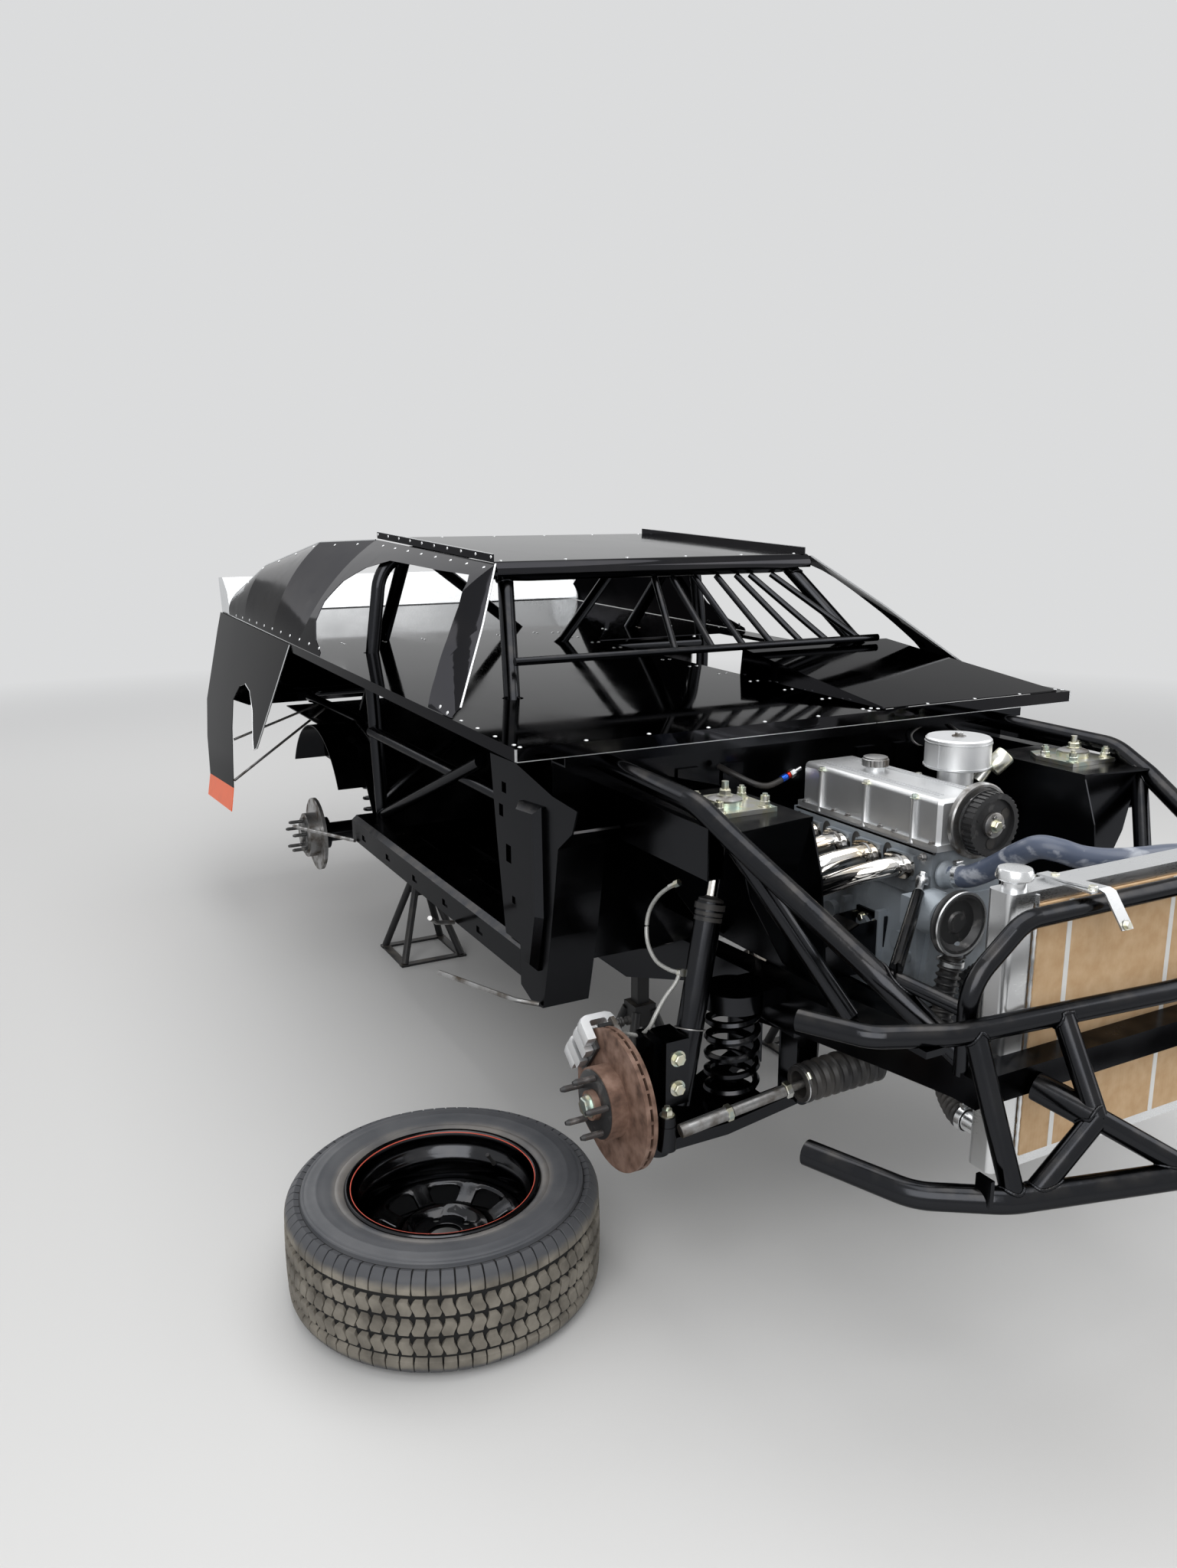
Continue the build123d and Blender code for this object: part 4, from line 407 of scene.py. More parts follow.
def piece(name, shape, finish, body="root", crease=34.0, replaces=()):
    """A new mesh from a shape in mm, or a list of shapes: doubles merged, faces turned outwards, smooth up to
    the crease angle."""
    points, faces = merged(shape) if isinstance(shape, list) else shape
    mesh = bpy.data.meshes.new(name)
    mesh.from_pydata((np.asarray(points, float) * MM + AXLE).tolist(), [], faces)
    work = bmesh.new()
    work.from_mesh(mesh)
    bmesh.ops.remove_doubles(work, verts=work.verts, dist=2e-6)
    bmesh.ops.recalc_face_normals(work, faces=work.faces)
    work.to_mesh(mesh)
    work.free()
    mesh.shade_smooth()
    mesh.set_sharp_from_angle(angle=math.radians(crease))
    mesh.materials.append(FINISHES[finish])
    made = bpy.data.objects.new(name, mesh)
    bpy.context.scene.collection.objects.link(made)
    if body:
        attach(made, body)
    if replaces:
        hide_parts(*replaces)
    return made


def fitted(name, shape, places, axes, finish, slot=None, body="root"):
    """One shape repeated at its places as one piece."""
    return piece(name, copies(shape, places, axes), finish, body)


def pair(name, shape, finish, body="knuckle", crease=34.0, replaces=None):
    """A right side's piece and its mirror image, each on the body of its own side, or on the root."""
    points, faces = merged(shape) if isinstance(shape, list) else shape
    for side, s in SIDES:
        piece(f"{name}_{side}", (flipped(points, s), faces), finish,
              f"{body}_{side}" if body else "root", crease, [f"{replaces}_{side}"] if replaces else ())


def lathe(profile, turns=32, ring=False):
    """Turned shape: (radius, height) of the profile at angle a is (radius cos a, radius sin a, height)."""
    radius, height = np.asarray(profile, float).T
    angle = np.linspace(0, 2 * np.pi, turns, endpoint=False)[:, None]
    points = np.stack([radius * np.cos(angle), radius * np.sin(angle), height + 0 * angle], -1)
    return points.reshape(-1, 3), grid_faces(turns, len(profile), True, ring)


def barrel(radius, low, high, turns, bore=0.0):
    """Plain round bar or ring from a low to a high place."""
    return lathe([(bore, low), (radius, low), (radius, high), (bore, high)], turns, bore > 0)


def unit(vectors):
    return vectors / np.maximum(np.linalg.norm(vectors, axis=-1, keepdims=True), 1e-12)


def bases(axes, guide=UP):
    """For each axis, rows x, y and z of a turned basis whose z is the axis and whose y leans to the guide."""
    z = unit(np.atleast_2d(np.asarray(axes, float)))
    guide = np.where(np.abs(z @ np.asarray(guide, float))[:, None] > 0.95, (0.0, 1.0, 0.0), guide)
    x = unit(np.cross(guide, z))
    return np.stack([x, np.cross(z, x), z], 1)


def copies(shape, places, axes):
    """The shape once at each place, its own z along that place's axis."""
    points, faces = shape
    places = np.atleast_2d(np.asarray(places, float))
    turned = bases(np.broadcast_to(axes, places.shape))
    spots = np.einsum("pi,kij->kpj", points, turned) + places[:, None]
    steps = np.arange(len(places)) * len(points)
    return spots.reshape(-1, 3), [[i + s for i in side] for s in steps.tolist() for side in faces]


def curve(points, per):
    """Smooth line through the points: on each stretch the cubic whose end slopes are half the step past
    each end."""
    p = np.asarray(points, float)
    p = np.concatenate([[2 * p[0] - p[1]], p, [2 * p[-1] - p[-2]]])
    t = np.linspace(0, 1, per, endpoint=False)[:, None, None]
    a, b, c, d = p[:-3], p[1:-2], p[2:-1], p[3:]
    line = b + ((c - a) * t + (2 * a - 5 * b + 4 * c - d) * t ** 2 + (3 * b - a - 3 * c + d) * t ** 3) / 2
    return np.concatenate([line.transpose(1, 0, 2).reshape(-1, 3), p[-2:-1]])


def ended(points):
    """Rows of closed lines as a skin with a flat face over each end."""
    rows, cols = points.shape[:2]
    ends = [list(range(cols))[::-1], list(range((rows - 1) * cols, rows * cols))]
    return points.reshape(-1, 3), grid_faces(rows, cols, False, True) + ends


def carried(path, outline, guide=UP, sizes=1.0):
    """Profile carried along a path: outline (across, up) at each path point, square to the path."""
    path = np.asarray(path, float)
    flat = np.pad(np.asarray(outline, float), ((0, 0), (0, 1)))
    turned = bases(np.gradient(path, axis=0), guide)
    sizes = np.broadcast_to(sizes, len(path))[:, None, None]
    return np.einsum("pi,kij->kpj", flat, turned) * sizes + path[:, None]


def circle(radius, sides):
    """Points evenly round a circle: (radius cos a, radius sin a)."""
    angle = np.linspace(0, 2 * np.pi, sides, endpoint=False)
    return np.stack([radius * np.cos(angle), radius * np.sin(angle)], 1)


def pipe(path, radius, sides, sizes=1.0):
    """Circle carried along a path."""
    return ended(carried(path, circle(radius, sides), sizes=sizes))


def strip(points, wide, high, guide=UP):
    """Flat section carried along places, for sheared bright edges and flat bars."""
    w, h = wide / 2, high / 2
    return ended(carried(points, [(-w, -h), (w, -h), (w, h), (-w, h)], guide))


def block(x0, x1, y0, y1, z0, z1):
    """Box between two corners."""
    corners = np.array([(x, y, z) for x in (x0, x1) for y in (y0, y1) for z in (z0, z1)], float)
    return corners, [[0, 1, 3, 2], [4, 6, 7, 5], [0, 4, 5, 1], [2, 3, 7, 6], [0, 2, 6, 4], [1, 5, 7, 3]]


# Small hardware, standing on z = 0
def dome(radius, height):
    """Rivet head: quarter ellipse turned about its axis."""
    angle = np.linspace(0, np.pi / 2, 4)
    return lathe(np.stack([radius * np.cos(angle), height * np.sin(angle)], 1), 10)


def hexagon(across, height, washer=0.0):
    """Hex head or nut with a chamfered top, on a round washer where one is asked for."""
    r = across / math.sqrt(3)
    head = lathe([(0, 0), (r, 0), (r, 0.85 * height), (0.86 * r, height), (0, height)], 6)
    return merged([head, barrel(washer, 0, 0.1 * across, 20)]) if washer else head


def studded(across, height, bolt_r, bolt_h):
    """Nut on a washer with the bolt's end standing out of it."""
    return merged([hexagon(across, height, across * 0.75), barrel(bolt_r, 0, bolt_h, 12)])


def along(a, b, step):
    """Evenly spaced places from a to b, about a step apart, both ends included."""
    a, b = np.asarray(a, float), np.asarray(b, float)
    count = max(2, int(round(np.linalg.norm(b - a) / step)) + 1)
    return a + (b - a) * np.linspace(0, 1, count)[:, None]


# ---- loose wheel: everything turns about its axis, which stands at LOOSE ----

LOOSE = (middle("loose_tyre") * (1, 1, 0) - AXLE) / MM
TYRE_R, TYRE_HALF, TREAD_DEPTH = 331.0, 117.5, 8.0
SHOULDER, SHOULDER_WIDE, SHOULDER_DROP, WALL_END = 80.0, 37.5, 54.0, 134.0
STUD_CIRCLE_R, STUDS = 57.15, 5
PITCHES = 37  # blocks in each row
TREAD_ROWS = (
    # from, to (mm across from the middle), half gap at the edges, half sipe, sideways wave
    (-117, -66, 0.012, 0.030, 0.00), (-60, -24, 0.10, 0.11, 0.05), (-18, 18, 0.10, 0.11, -0.05),
    (24, 60, 0.10, 0.11, 0.05), (66, 117, 0.012, 0.030, 0.00),
)
SIDEWALL = np.array([
    # radius and height from the tread to the bead seat
    (273, 235.2), (266, 235.5), (263.5, 236.2), (261, 235.4), (250, 234.6), (240, 233.2), (230, 230.9),
    (225, 229.6), (222, 231.0), (217, 230.8), (213, 228.5), (209, 226.5), (205.2, 222), (194, 214),
    (194, 205)])
RIM_BARREL = (
    (205, 216), (206.5, 222), (206.5, 227), (204, 229.6), (199, 230), (194.5, 228), (192.5, 224.5),
    (191, 218), (189.5, 205), (188.5, 198), (184, 191), (176, 183.5), (171.5, 178), (170, 170), (169, 150),
    (170, 134), (170.5, 128), (172.5, 122), (175, 100), (175, 56), (188, 42), (190, 14), (200, 8), (205, 8),
    (206, 14), (200, 16), (195, 20), (194, 42), (181, 56), (177, 60), (177, 178), (193, 192), (194, 214),
)
RIM_FACE = np.array([
    (36, 98), (66, 98), (72, 99), (77, 104), (82, 110), (86, 112.5), (91, 111), (97, 107.5), (105, 107),
    (120, 112), (136, 119), (150, 125.5), (158, 128.5), (166, 129), (173, 126)])


def tread_arc(across):
    """Radius and height of the tyre's outside: a shallow crown, then a quarter ellipse at each shoulder."""
    side, far = np.sign(across), np.abs(across)
    turn = np.clip((far - SHOULDER) / (WALL_END - SHOULDER), 0, 1) * np.pi / 2
    radius = TYRE_R - 2.2 * np.minimum(far / SHOULDER, 1) ** 2 - SHOULDER_DROP * (1 - np.cos(turn))
    height = side * (np.minimum(far, SHOULDER) + SHOULDER_WIDE * np.sin(turn))
    return np.stack([radius, height + TYRE_HALF], -1)


def sunk(across, depth):
    """The same line moved inwards, square to itself, by the depth."""
    slope = unit(tread_arc(across + 0.5) - tread_arc(across - 0.5))
    return tread_arc(across) - np.stack([slope[..., 1], -slope[..., 0]], -1) * np.asarray(depth)[..., None]


def tiles(points, rows, cols, ring_cols=False):
    """Many grids of points of one size, each with its own faces."""
    starts = np.arange(len(points))[:, None, None] * points.shape[1]
    faces = np.array(grid_faces(rows, cols, False, ring_cols)) + starts
    return points.reshape(-1, 3), faces.reshape(-1, 4).tolist()


def tread_row(start, end, gap, sipe, wave):
    """One row of blocks: each pitch is two strips across the tread, whose gap and sipe widen to its edges."""
    t = np.linspace(0, 1, 9)
    edge = np.abs(2 * t - 1)
    bend = wave * np.sin(2 * np.pi * t)
    slit = np.maximum(0.0, edge - 0.3) / 0.7 * sipe
    sides = np.array([[0.022 + gap * edge ** 2 + bend, 0.486 - slit + bend],
                      [0.514 + slit + bend, 0.978 - gap * edge ** 2 + bend]])
    # round a strip: share of its length along the tread, and depth, where 1 is the groove's floor
    share, level = np.array([0, 0, 0.03, 0.97, 1, 1.0]), np.array([1, 0.12, 0, 0, 0.12, 1.0])
    turn = sides[:, 0, :, None] * (1 - share) + sides[:, 1, :, None] * share
    angle = (turn[None] + np.arange(PITCHES)[:, None, None, None]) * 2 * np.pi / PITCHES
    depth = np.where(np.abs(t - 0.5) > 0.49, 1.0, level[:, None]) * TREAD_DEPTH * 0.97
    radius, height = np.moveaxis(sunk(np.broadcast_to(start + (end - start) * t, depth.shape), depth), -1, 0)
    radius, height = radius.T + 0 * angle, height.T + 0 * angle
    points = np.stack([radius * np.cos(angle), radius * np.sin(angle), height], -1)
    return tiles(points.reshape(-1, len(t) * len(share), 3), len(t), len(share))


def tyre_carcass():
    """Sidewalls, shoulders and the ground under the blocks as one turned skin, with guard ring and bead."""
    across = np.linspace(-WALL_END, WALL_END, 160)
    far = np.abs(across)
    depth = TREAD_DEPTH * np.clip((121 - far) / 3, 0, 1) + 1.2 * np.exp(-((far - 125.5) / 1.4) ** 2)
    low = SIDEWALL[::-1] * (1, -1) + (0, 2 * TYRE_HALF)
    low[:, 1] = np.maximum(low[:, 1], 0.0)
    return lathe(np.concatenate([low, sunk(across, depth), SIDEWALL]), 220)


def pierced_ring(inner, outer, count, middle_r, hole, turn, steps=12):
    """Part of the wheel's face between two radii with a hole in each of its equal sectors: the lines from a
    sector's edge to its hole's outline run straight in (tangent, radius), and the hole's edge rolls down."""
    half = np.pi / count * middle_r
    t = np.linspace(-1, 1, steps, endpoint=False)
    low, high = inner - middle_r, outer - middle_r
    v = low + (t + 1) / 2 * (high - low)
    u = t * half
    back = v[::-1] + (v[1] - v[0])
    edge = np.concatenate([np.stack([u, 0 * u + low], 1), np.stack([0 * v + half, v], 1),
                           np.stack([-u, 0 * u + high], 1), np.stack([0 * v - half, back], 1)])
    way = np.arctan2(edge[:, 1], edge[:, 0])
    wide, tall, power, taper = hole
    reach = (np.abs(np.cos(way) / wide) ** power + np.abs(np.sin(way) / tall) ** power) ** (-1 / power)
    mouth = np.stack([reach * np.cos(way) * (1 + taper * np.sin(way)), reach * np.sin(way)], 1)
    # share of the way from the edge to the hole, and how far down; the last one is the hole's wall
    share = np.array([0, 0.35, 0.7, 0.93, 1.0, 1.0])[:, None, None]
    flat = edge * (1 - share) + mouth * share
    radius = middle_r + flat[..., 1]
    height = np.interp(radius, *RIM_FACE.T) - np.array([0, 0, 0, 0.3, 2.0, 8.0])[:, None]
    angle = turn + flat[..., 0] / middle_r + np.arange(count)[:, None, None] * 2 * np.pi / count
    points = np.stack([radius * np.cos(angle), radius * np.sin(angle), height + 0 * angle], -1)
    return tiles(points.reshape(count, -1, 3), len(share), len(edge), True)


def build_tyre():
    across = np.linspace(-118.5, 118.5, 70)
    # Skin just above the carcass between the blocks, finished in painted shade for the grooves.
    grooves = lathe(sunk(across, 0 * across + TREAD_DEPTH - 0.6), 160)
    rim = merged([lathe(RIM_BARREL, 160, True),
                  pierced_ring(91, 173, 8, 124.0, (30, 25, 4.0, 0.13), math.radians(24.3)),
                  pierced_ring(38, 91, STUDS, STUD_CIRCLE_R, (8, 8, 2.0, 0.0), 0.3),
                  lathe([(38, 98), (36.5, 97.4), (36, 96), (36, 88)], 96)])
    blocks = merged([tread_row(*row) for row in TREAD_ROWS])
    line = lathe(circle(1.2, 10) + (193.4, 226.6), 160, True)
    for name, shape, finish, slot, crease, replaces in (
            ("tyre_carcass", tyre_carcass(), "tyre_rubber", None, 34, ["loose_tyre"]),
            ("tyre_tread", blocks, "tyre_tread", "tyre_rubber", 25, ()),
            ("wheel_rim", rim, "wheel_black", None, 34, ["loose_rim"]),
            ("groove_floor", grooves, "groove_painted_shade", "tyre_rubber", 34, ()),
            ("rim_line", line, "rim_line_red", "wheel_black", 34, ())):
        piece(name, (shape[0] + LOOSE, shape[1]), finish, crease=crease, replaces=replaces)
    valve = lathe([(0, 0), (6, 0), (5, 6), (3.6, 9), (3.6, 30), (4.6, 31), (4.6, 40), (0, 41)], 14)
    spot = LOOSE + (172 * math.cos(0.5), 172 * math.sin(0.5), 178)
    fitted("valve_stem", valve, spot, (-0.5, -0.27, 0.8), "boot_rubber")


# ---- sheet metal: rivets, sheared edges and welds ----

SHEET = 3.0
DECK_HALF, DECK_FRONT, DECK_REAR, CABIN_REAR, DECK_SEAM = 839.0, 332.0, 3452.0, 2170.0, 150.0
ROOF_HALF, ROOF_FRONT, ROOF_REAR, ROOF_LIP = 536.0, 1110.0, 2156.0, 20.0
QUARTER_LEAN = math.tan(math.radians(14.0))
SAIL_BOW = 34.0
SAIL_STATIONS = np.array([
    # y, top x, top z
    (700, 815, 1146), (905, 668, 1316), (1110, 540, 1462), (2156, 540, 1508), (2520, 640, 1494),
    (2985, 742, 1393), (3300, 815, 1255)], float)
SAIL_RIVETS = (
    # share of the way up, first and last place, step
    (0.05, 1905.0, 3260.0, 125.0), (0.10, 735.0, 845.0, 55.0), (0.955, 1150.0, 2150.0, 125.0),
    (0.95, 2240.0, 3200.0, 150.0),
)
QUARTER_EDGE = np.array([
    (2249, 1149), (2436, 754), (2476, 742), (2521, 779), (2600, 868), (2700, 930), (2790, 946)], float)


def deck_z(y, rise=SHEET):
    """Top of the deck sheet, which climbs evenly to the tail."""
    return 1110.0 + (np.asarray(y, float) - DECK_FRONT) / (DECK_REAR - DECK_FRONT) * 64.0 + rise


def lapped_z(y):
    """Top of a second sheet that laps over the deck."""
    return deck_z(y, 2 * SHEET)


def roof_z(y):
    """Top of the roof sheet, which climbs evenly to its rear edge."""
    return 1467.0 + (np.asarray(y, float) - ROOF_FRONT) / (ROOF_REAR - ROOF_FRONT) * 48.0


def sail(side, y, share):
    """Place and outward normal on a sail panel: from the deck's edge to its top, bowed out by a parabola."""
    y = np.asarray(y, float)
    foot = np.stack([0 * y - DECK_HALF, lapped_z(y)], -1)
    top = np.stack([-np.interp(y, *SAIL_STATIONS.T[:2]), np.interp(y, *SAIL_STATIONS.T[::2])], -1)
    run = top - foot
    out = unit(np.stack([-run[:, 1], run[:, 0]], -1))
    bow = SAIL_BOW * np.minimum(1, run[:, 1] / 300.0)[:, None]
    spot = foot + run * share + out * 4 * bow * share * (1 - share)
    slope = run + out * 4 * bow * (1 - 2 * share)
    way = unit(np.stack([-slope[:, 1], slope[:, 0]], -1))
    places = np.stack([spot[:, 0], y, spot[:, 1]], -1)
    return flipped(places, -side), flipped(np.stack([way[:, 0], 0 * y, way[:, 1]], -1), -side)


def rivet_rows():
    """Places and axes of every pop rivet, row by row."""
    rows = []

    def row(a, b, step, axis):
        spots = along(a, b, step)
        rows.append((spots, np.broadcast_to(axis, spots.shape)))

    def level(x0, y0, x1, y1, step, height=deck_z):
        row((x0, y0, height(y0)), (x1, y1, height(y1)), step, UP)

    level(-822, 346, 136, 346, 160)
    level(164, 346, 822, 346, 160, lapped_z)
    for x in (DECK_SEAM - 12, DECK_SEAM + 14):
        level(x, 372, x, 2150, 165)
    for y in (CABIN_REAR + 14, CABIN_REAR - 14):
        level(-822, y, 822, y, 150)
    level(-790, DECK_REAR - 30, 790, DECK_REAR - 30, 150, lapped_z)
    for y in (ROOF_FRONT + 44, ROOF_REAR - 22):
        level(-505, y, 505, y, 202, roof_z)
    for s in (-1, 1):
        level(s * 824, 372, s * 824, 676, 100)
        level(s * 824, 1930, s * 824, 2140, 105)
        lip = [(s * ROOF_HALF, y, roof_z(y) + 11) for y in (ROOF_FRONT + 40, ROOF_REAR - 12)]
        row(*lip, 112, (s, 0, 0))
        row((s * (DECK_HALF + 3.3), 2268, 1136), (s * (DECK_HALF + 3.3), 3462, 1160), 149, (s, 0, 0))
        rows += [sail(s, np.arange(first, last, step), share) for share, first, last, step in SAIL_RIVETS]
    return (np.concatenate(part) for part in zip(*rows))


def bright_edges():
    """Strips of bare metal along the sheared edges of the sails, roof, quarters and deck."""
    front, rear = np.linspace(700, 1110, 24), np.linspace(2160, 3290, 40)
    roof = (ROOF_FRONT + 27, ROOF_REAR - 1)
    fall = np.maximum(deck_z(QUARTER_EDGE[:, 0], 0) - QUARTER_EDGE[:, 1], 0) * QUARTER_LEAN
    lines = []
    for s in (-1, 1):
        lines += [
            strip(sail(s, front, 1.0)[0], 4.4, 4.4), strip(sail(s, rear, 1.0)[0], 3.6, 3.6),
            strip([(s * (ROOF_HALF - 1.5), y, roof_z(y) + ROOF_LIP) for y in roof], 3.6, 1.6),
            strip(np.column_stack([s * (DECK_HALF + 2 + fall), QUARTER_EDGE]), 4.2, 4.2),
            strip([(s * 837.5, 333, 1085), (s * 837.5, 333, 1112)], 4.2, 4.2, (0, 1, 0))]
    lines += [strip([(a, 333.5, 1084), (b, 333.5, 1084)], 4.2, 1.8) for a, b in ((-836, 148), (152, 836))]
    return lines


def closed_bead(path, radius, ripples):
    """Weld bead: a small circle carried round a closed line, swelling with every puddle."""
    turned = bases(unit(np.roll(path, -1, 0) - np.roll(path, 1, 0)))
    swell = radius * (1 + 0.16 * np.cos(np.arange(len(path)) * 2 * np.pi * ripples / len(path)))
    ring = np.pad(circle(1.0, 7), ((0, 0), (0, 1)))
    points = np.einsum("pi,kij->kpj", ring, turned) * swell[:, None, None] + path[:, None]
    return points.reshape(-1, 3), grid_faces(len(path), 7, True, True)


def saddle(a0, a1, ra, b0, b1, rb):
    """Line where tube b runs into tube a: each line along b's wall is followed to where it meets a's wall."""
    axis, way = unit(a1 - a0), unit(b1 - b0)
    turned = bases(way)[0]
    angle = np.linspace(0, 2 * np.pi, 72, endpoint=False)[:, None]
    start = b0 + rb * (np.cos(angle) * turned[0] + np.sin(angle) * turned[1])
    flat_way = way - axis * (way @ axis)
    flat = (start - a0) - ((start - a0) @ axis)[:, None] * axis
    a, b, c = flat_way @ flat_way, flat @ flat_way, (flat ** 2).sum(1) - ra ** 2
    reach = (-b - np.sqrt(np.maximum(b * b - a * c, 0))) / a
    return start + reach[:, None] * way


LOW_BAR = ((-480, -735, 540), (0, -862, 540), 22)
CAGE_HOOP = ((-640, 1904, 590), (-660, 1904, 1080), 22)
TAIL_BAR = ((-540, 2440, 820), (-540, 3200, 812), 19)
WELDS = (
    # tube a from, to, radius, tube b from, onto tube a, radius: each also on the other side of the car
    (*LOW_BAR, (-300, -742, 640), (-440, -745, 540), 19),
    (*LOW_BAR, (-300, -742, 640), (-150, -822, 540), 19),
    (*LOW_BAR, (-480, -640, 790), (-470, -738, 540), 19),
    ((-520, -636, 790), (0, -690, 790), 19, (-470, -738, 540), (-480, -640, 790), 19),
    ((-520, -636, 790), (0, -690, 790), 19, (-300, -742, 640), (-305, -662, 790), 19),
    ((-300, -742, 640), (-440, -745, 540), 19, (-331, -645, 660), (-302, -740, 641), 25),
    ((-590, -120, 992), (-602, -10, 1040), 22, (-425, -280, 660), (-590, -90, 1004), 19),
    ((-520, -457, 824), (-430, -610, 692), 22, (-452, -600, 800), (-524, -420, 838), 13),
    ((-500, 1138, 1434), (500, 1138, 1434), 22, (-589, 901, 1060), (-495, 1160, 1434), 22),
    (*CAGE_HOOP, (-620, 800, 860), (-661, 1904, 880), 19),
    (*CAGE_HOOP, (-648, 986, 945), (-642, 1860, 600), 19),
    (*TAIL_BAR, (-460, 2560, 770), (-540, 2560, 820), 19),
    (*TAIL_BAR, (-460, 3160, 770), (-540, 3180, 812), 19),
)


def build_sheet_metal():
    fitted("pop_rivets", dome(5.2, 2.4), *rivet_rows(), "bare_aluminium")
    piece("sheared_edges", bright_edges(), "bare_aluminium")
    beads = [closed_bead(saddle(*(end if np.isscalar(end) else flipped(end, s) for end in weld)), 3.2, 30)
             for weld in WELDS for _, s in SIDES]
    piece("weld_beads", beads, "chassis_black", crease=60)


# ---- engine bay ----

COVER_LEFT, COVER_RIGHT, COVER_FRONT, COVER_REAR, COVER_BASE = 62.0, -90.0, -150.0, 318.0, 905.0
COVER_BOLTS_Y, COVER_SCREWS_Y = (-70, 84, 240), (-128, -14, 30, 140, 190, 296)
PORTS = (-62.0, 42.0, 146.0, 250.0)
TOWER = np.array([-508.0, 33.0, 1010.0])
CAM_Z = 966.0


def turned_cap(radius, height, knurls, depth):
    """Knurled cap: the profile's radius dips by the depth where the cosine of many turns is low."""
    profile = np.array([(0, 0), (radius, 0), (radius, 0.72 * height), (0.9 * radius, 0.8 * height),
                        (0.9 * radius, 0.95 * height), (0.84 * radius, height), (0, height)])
    angle = np.linspace(0, 2 * np.pi, knurls * 4, endpoint=False)[:, None]
    grip = np.isclose(profile[:, 0], radius) * depth * (0.5 - 0.5 * np.cos(angle * knurls))
    r = profile[:, 0] - grip
    points = np.stack([r * np.cos(angle), r * np.sin(angle), profile[:, 1] + 0 * angle], -1)
    return points.reshape(-1, 3), grid_faces(len(angle), len(profile), True, False)


def build_cam_cover():
    def rows(inset, ys, z):
        return [(x, y, z) for x in (COVER_RIGHT - inset, COVER_LEFT + inset) for y in ys]

    screw = merged([hexagon(13, 9, 11), barrel(6.8, -3, 0, 16)])
    fitted("cover_bolts", screw, rows(1, COVER_BOLTS_Y, 1005), UP, "zinc_plate")
    pillar = lathe([(0, 0), (9.5, 0), (9.5, 4), (7, 9), (6.4, 92), (8.5, 98), (0, 98)], 24)
    fitted("cover_pillars", pillar, rows(2, COVER_BOLTS_Y, 907), UP, "cast_aluminium")
    flange = rows(3.5, COVER_SCREWS_Y, COVER_BASE + 14)
    fitted("cover_flange_screws", hexagon(10, 6, 7.5), flange, UP, "worn_steel")
    fitted("oil_filler_cap", turned_cap(31, 21, 22, 1.5), (-10, 150, 1027), UP, "worn_steel")
    ribs = [strip([(x, COVER_FRONT + 40, 1016.2), (x, COVER_REAR - 40, 1016.2)], 3.0, 2.4)
            for x in (-62, -50, 28, 40)]
    piece("cover_ribs", ribs, "cast_aluminium")


def build_towers():
    corners = [(-50, -52), (62, -52), (-50, 30), (62, 30)]
    nuts = np.concatenate([flipped([TOWER + (x, y, 10.4) for x, y in corners], s) for _, s in SIDES])
    tops = np.array([flipped(TOWER + (0, 0, 20), s) for _, s in SIDES])
    fitted("camber_nuts", studded(19, 12, 5.5, 26), nuts, UP, "zinc_plate")
    bearing = lathe([(0, 2), (18, 2), (22, -2), (34, 0), (36, 3), (26, 7), (16, 8), (0, 8)], 36)
    fitted("strut_bearings", bearing, tops, UP, "worn_steel")
    fitted("strut_top_nuts", studded(22, 14, 7.5, 30), tops + (0, 0, 8), UP, "zinc_plate")


PULLEYS = (
    # x, z, radius of the dish, hub, bolt across flats, windows
    (0, CAM_Z, 55, 26, 19, 3), (0, 610, 32, 22, 22, 0), (-74, 742, 40, 18, 17, 4),
)
PULLEY_LIPS = ((0, -183.5, CAM_Z, 70.6), (-74, -183.5, 742, 54.6), (-74, -210.5, 742, 54.6))


def spread(x, y, z, radius, count, turn):
    """Places evenly round an axis that runs to the front."""
    angle = turn + np.arange(count) * 2 * np.pi / count
    return np.stack([x + radius * np.cos(angle), 0 * angle + y, z + radius * np.sin(angle)], -1)


def build_timing():
    """Faces, bolts and backing ring of the toothed pulleys, and black discs of painted shade in their
    windows.
    """
    heads, hubs, windows = [], [], []
    for x, z, dish, hub, across, count in PULLEYS:
        heads.append(copies(hexagon(across, 11, across * 0.8), (x, -211, z), FRONT))
        boss = lathe([(0, 0), (hub, 0), (hub + 1, 2), (hub + 1, 8), (hub - 2, 10), (0, 10)], 48)
        hubs.append(copies(boss, (x, -201, z), FRONT))
        if count:
            # Thin black disc in each window: painted shade where the hole shows the dark behind the pulley.
            window = barrel((dish - hub) / 2 - 2.5, 0, 0.9, 24)
            windows.append(copies(window, spread(x, -201.3, z, (dish + hub) / 2, count, 0.5), FRONT))
    piece("pulley_bolts", heads, "zinc_plate")
    piece("pulley_hubs", hubs, "worn_steel")
    piece("pulley_window_shades", windows, "boot_rubber")
    backing = lathe([(56, 0), (82, 0), (82, 10), (79, 13), (74, 13), (72, 6), (56, 6)], 96, True)
    fitted("cam_backing_ring", backing, (0, -158, CAM_Z), FRONT, "worn_steel")
    lips = [copies(barrel(radius, -1, 1, 96, radius - 6), spot, FRONT) for *spot, radius in PULLEY_LIPS]
    piece("pulley_lips", lips, "cog_black")
    fitted("cam_hub_screws", hexagon(8, 5, 6), spread(0, -211, CAM_Z, 20, 3, -0.2), FRONT, "worn_steel")


# ---- running gear: places on the right side, mirrored to the left ----

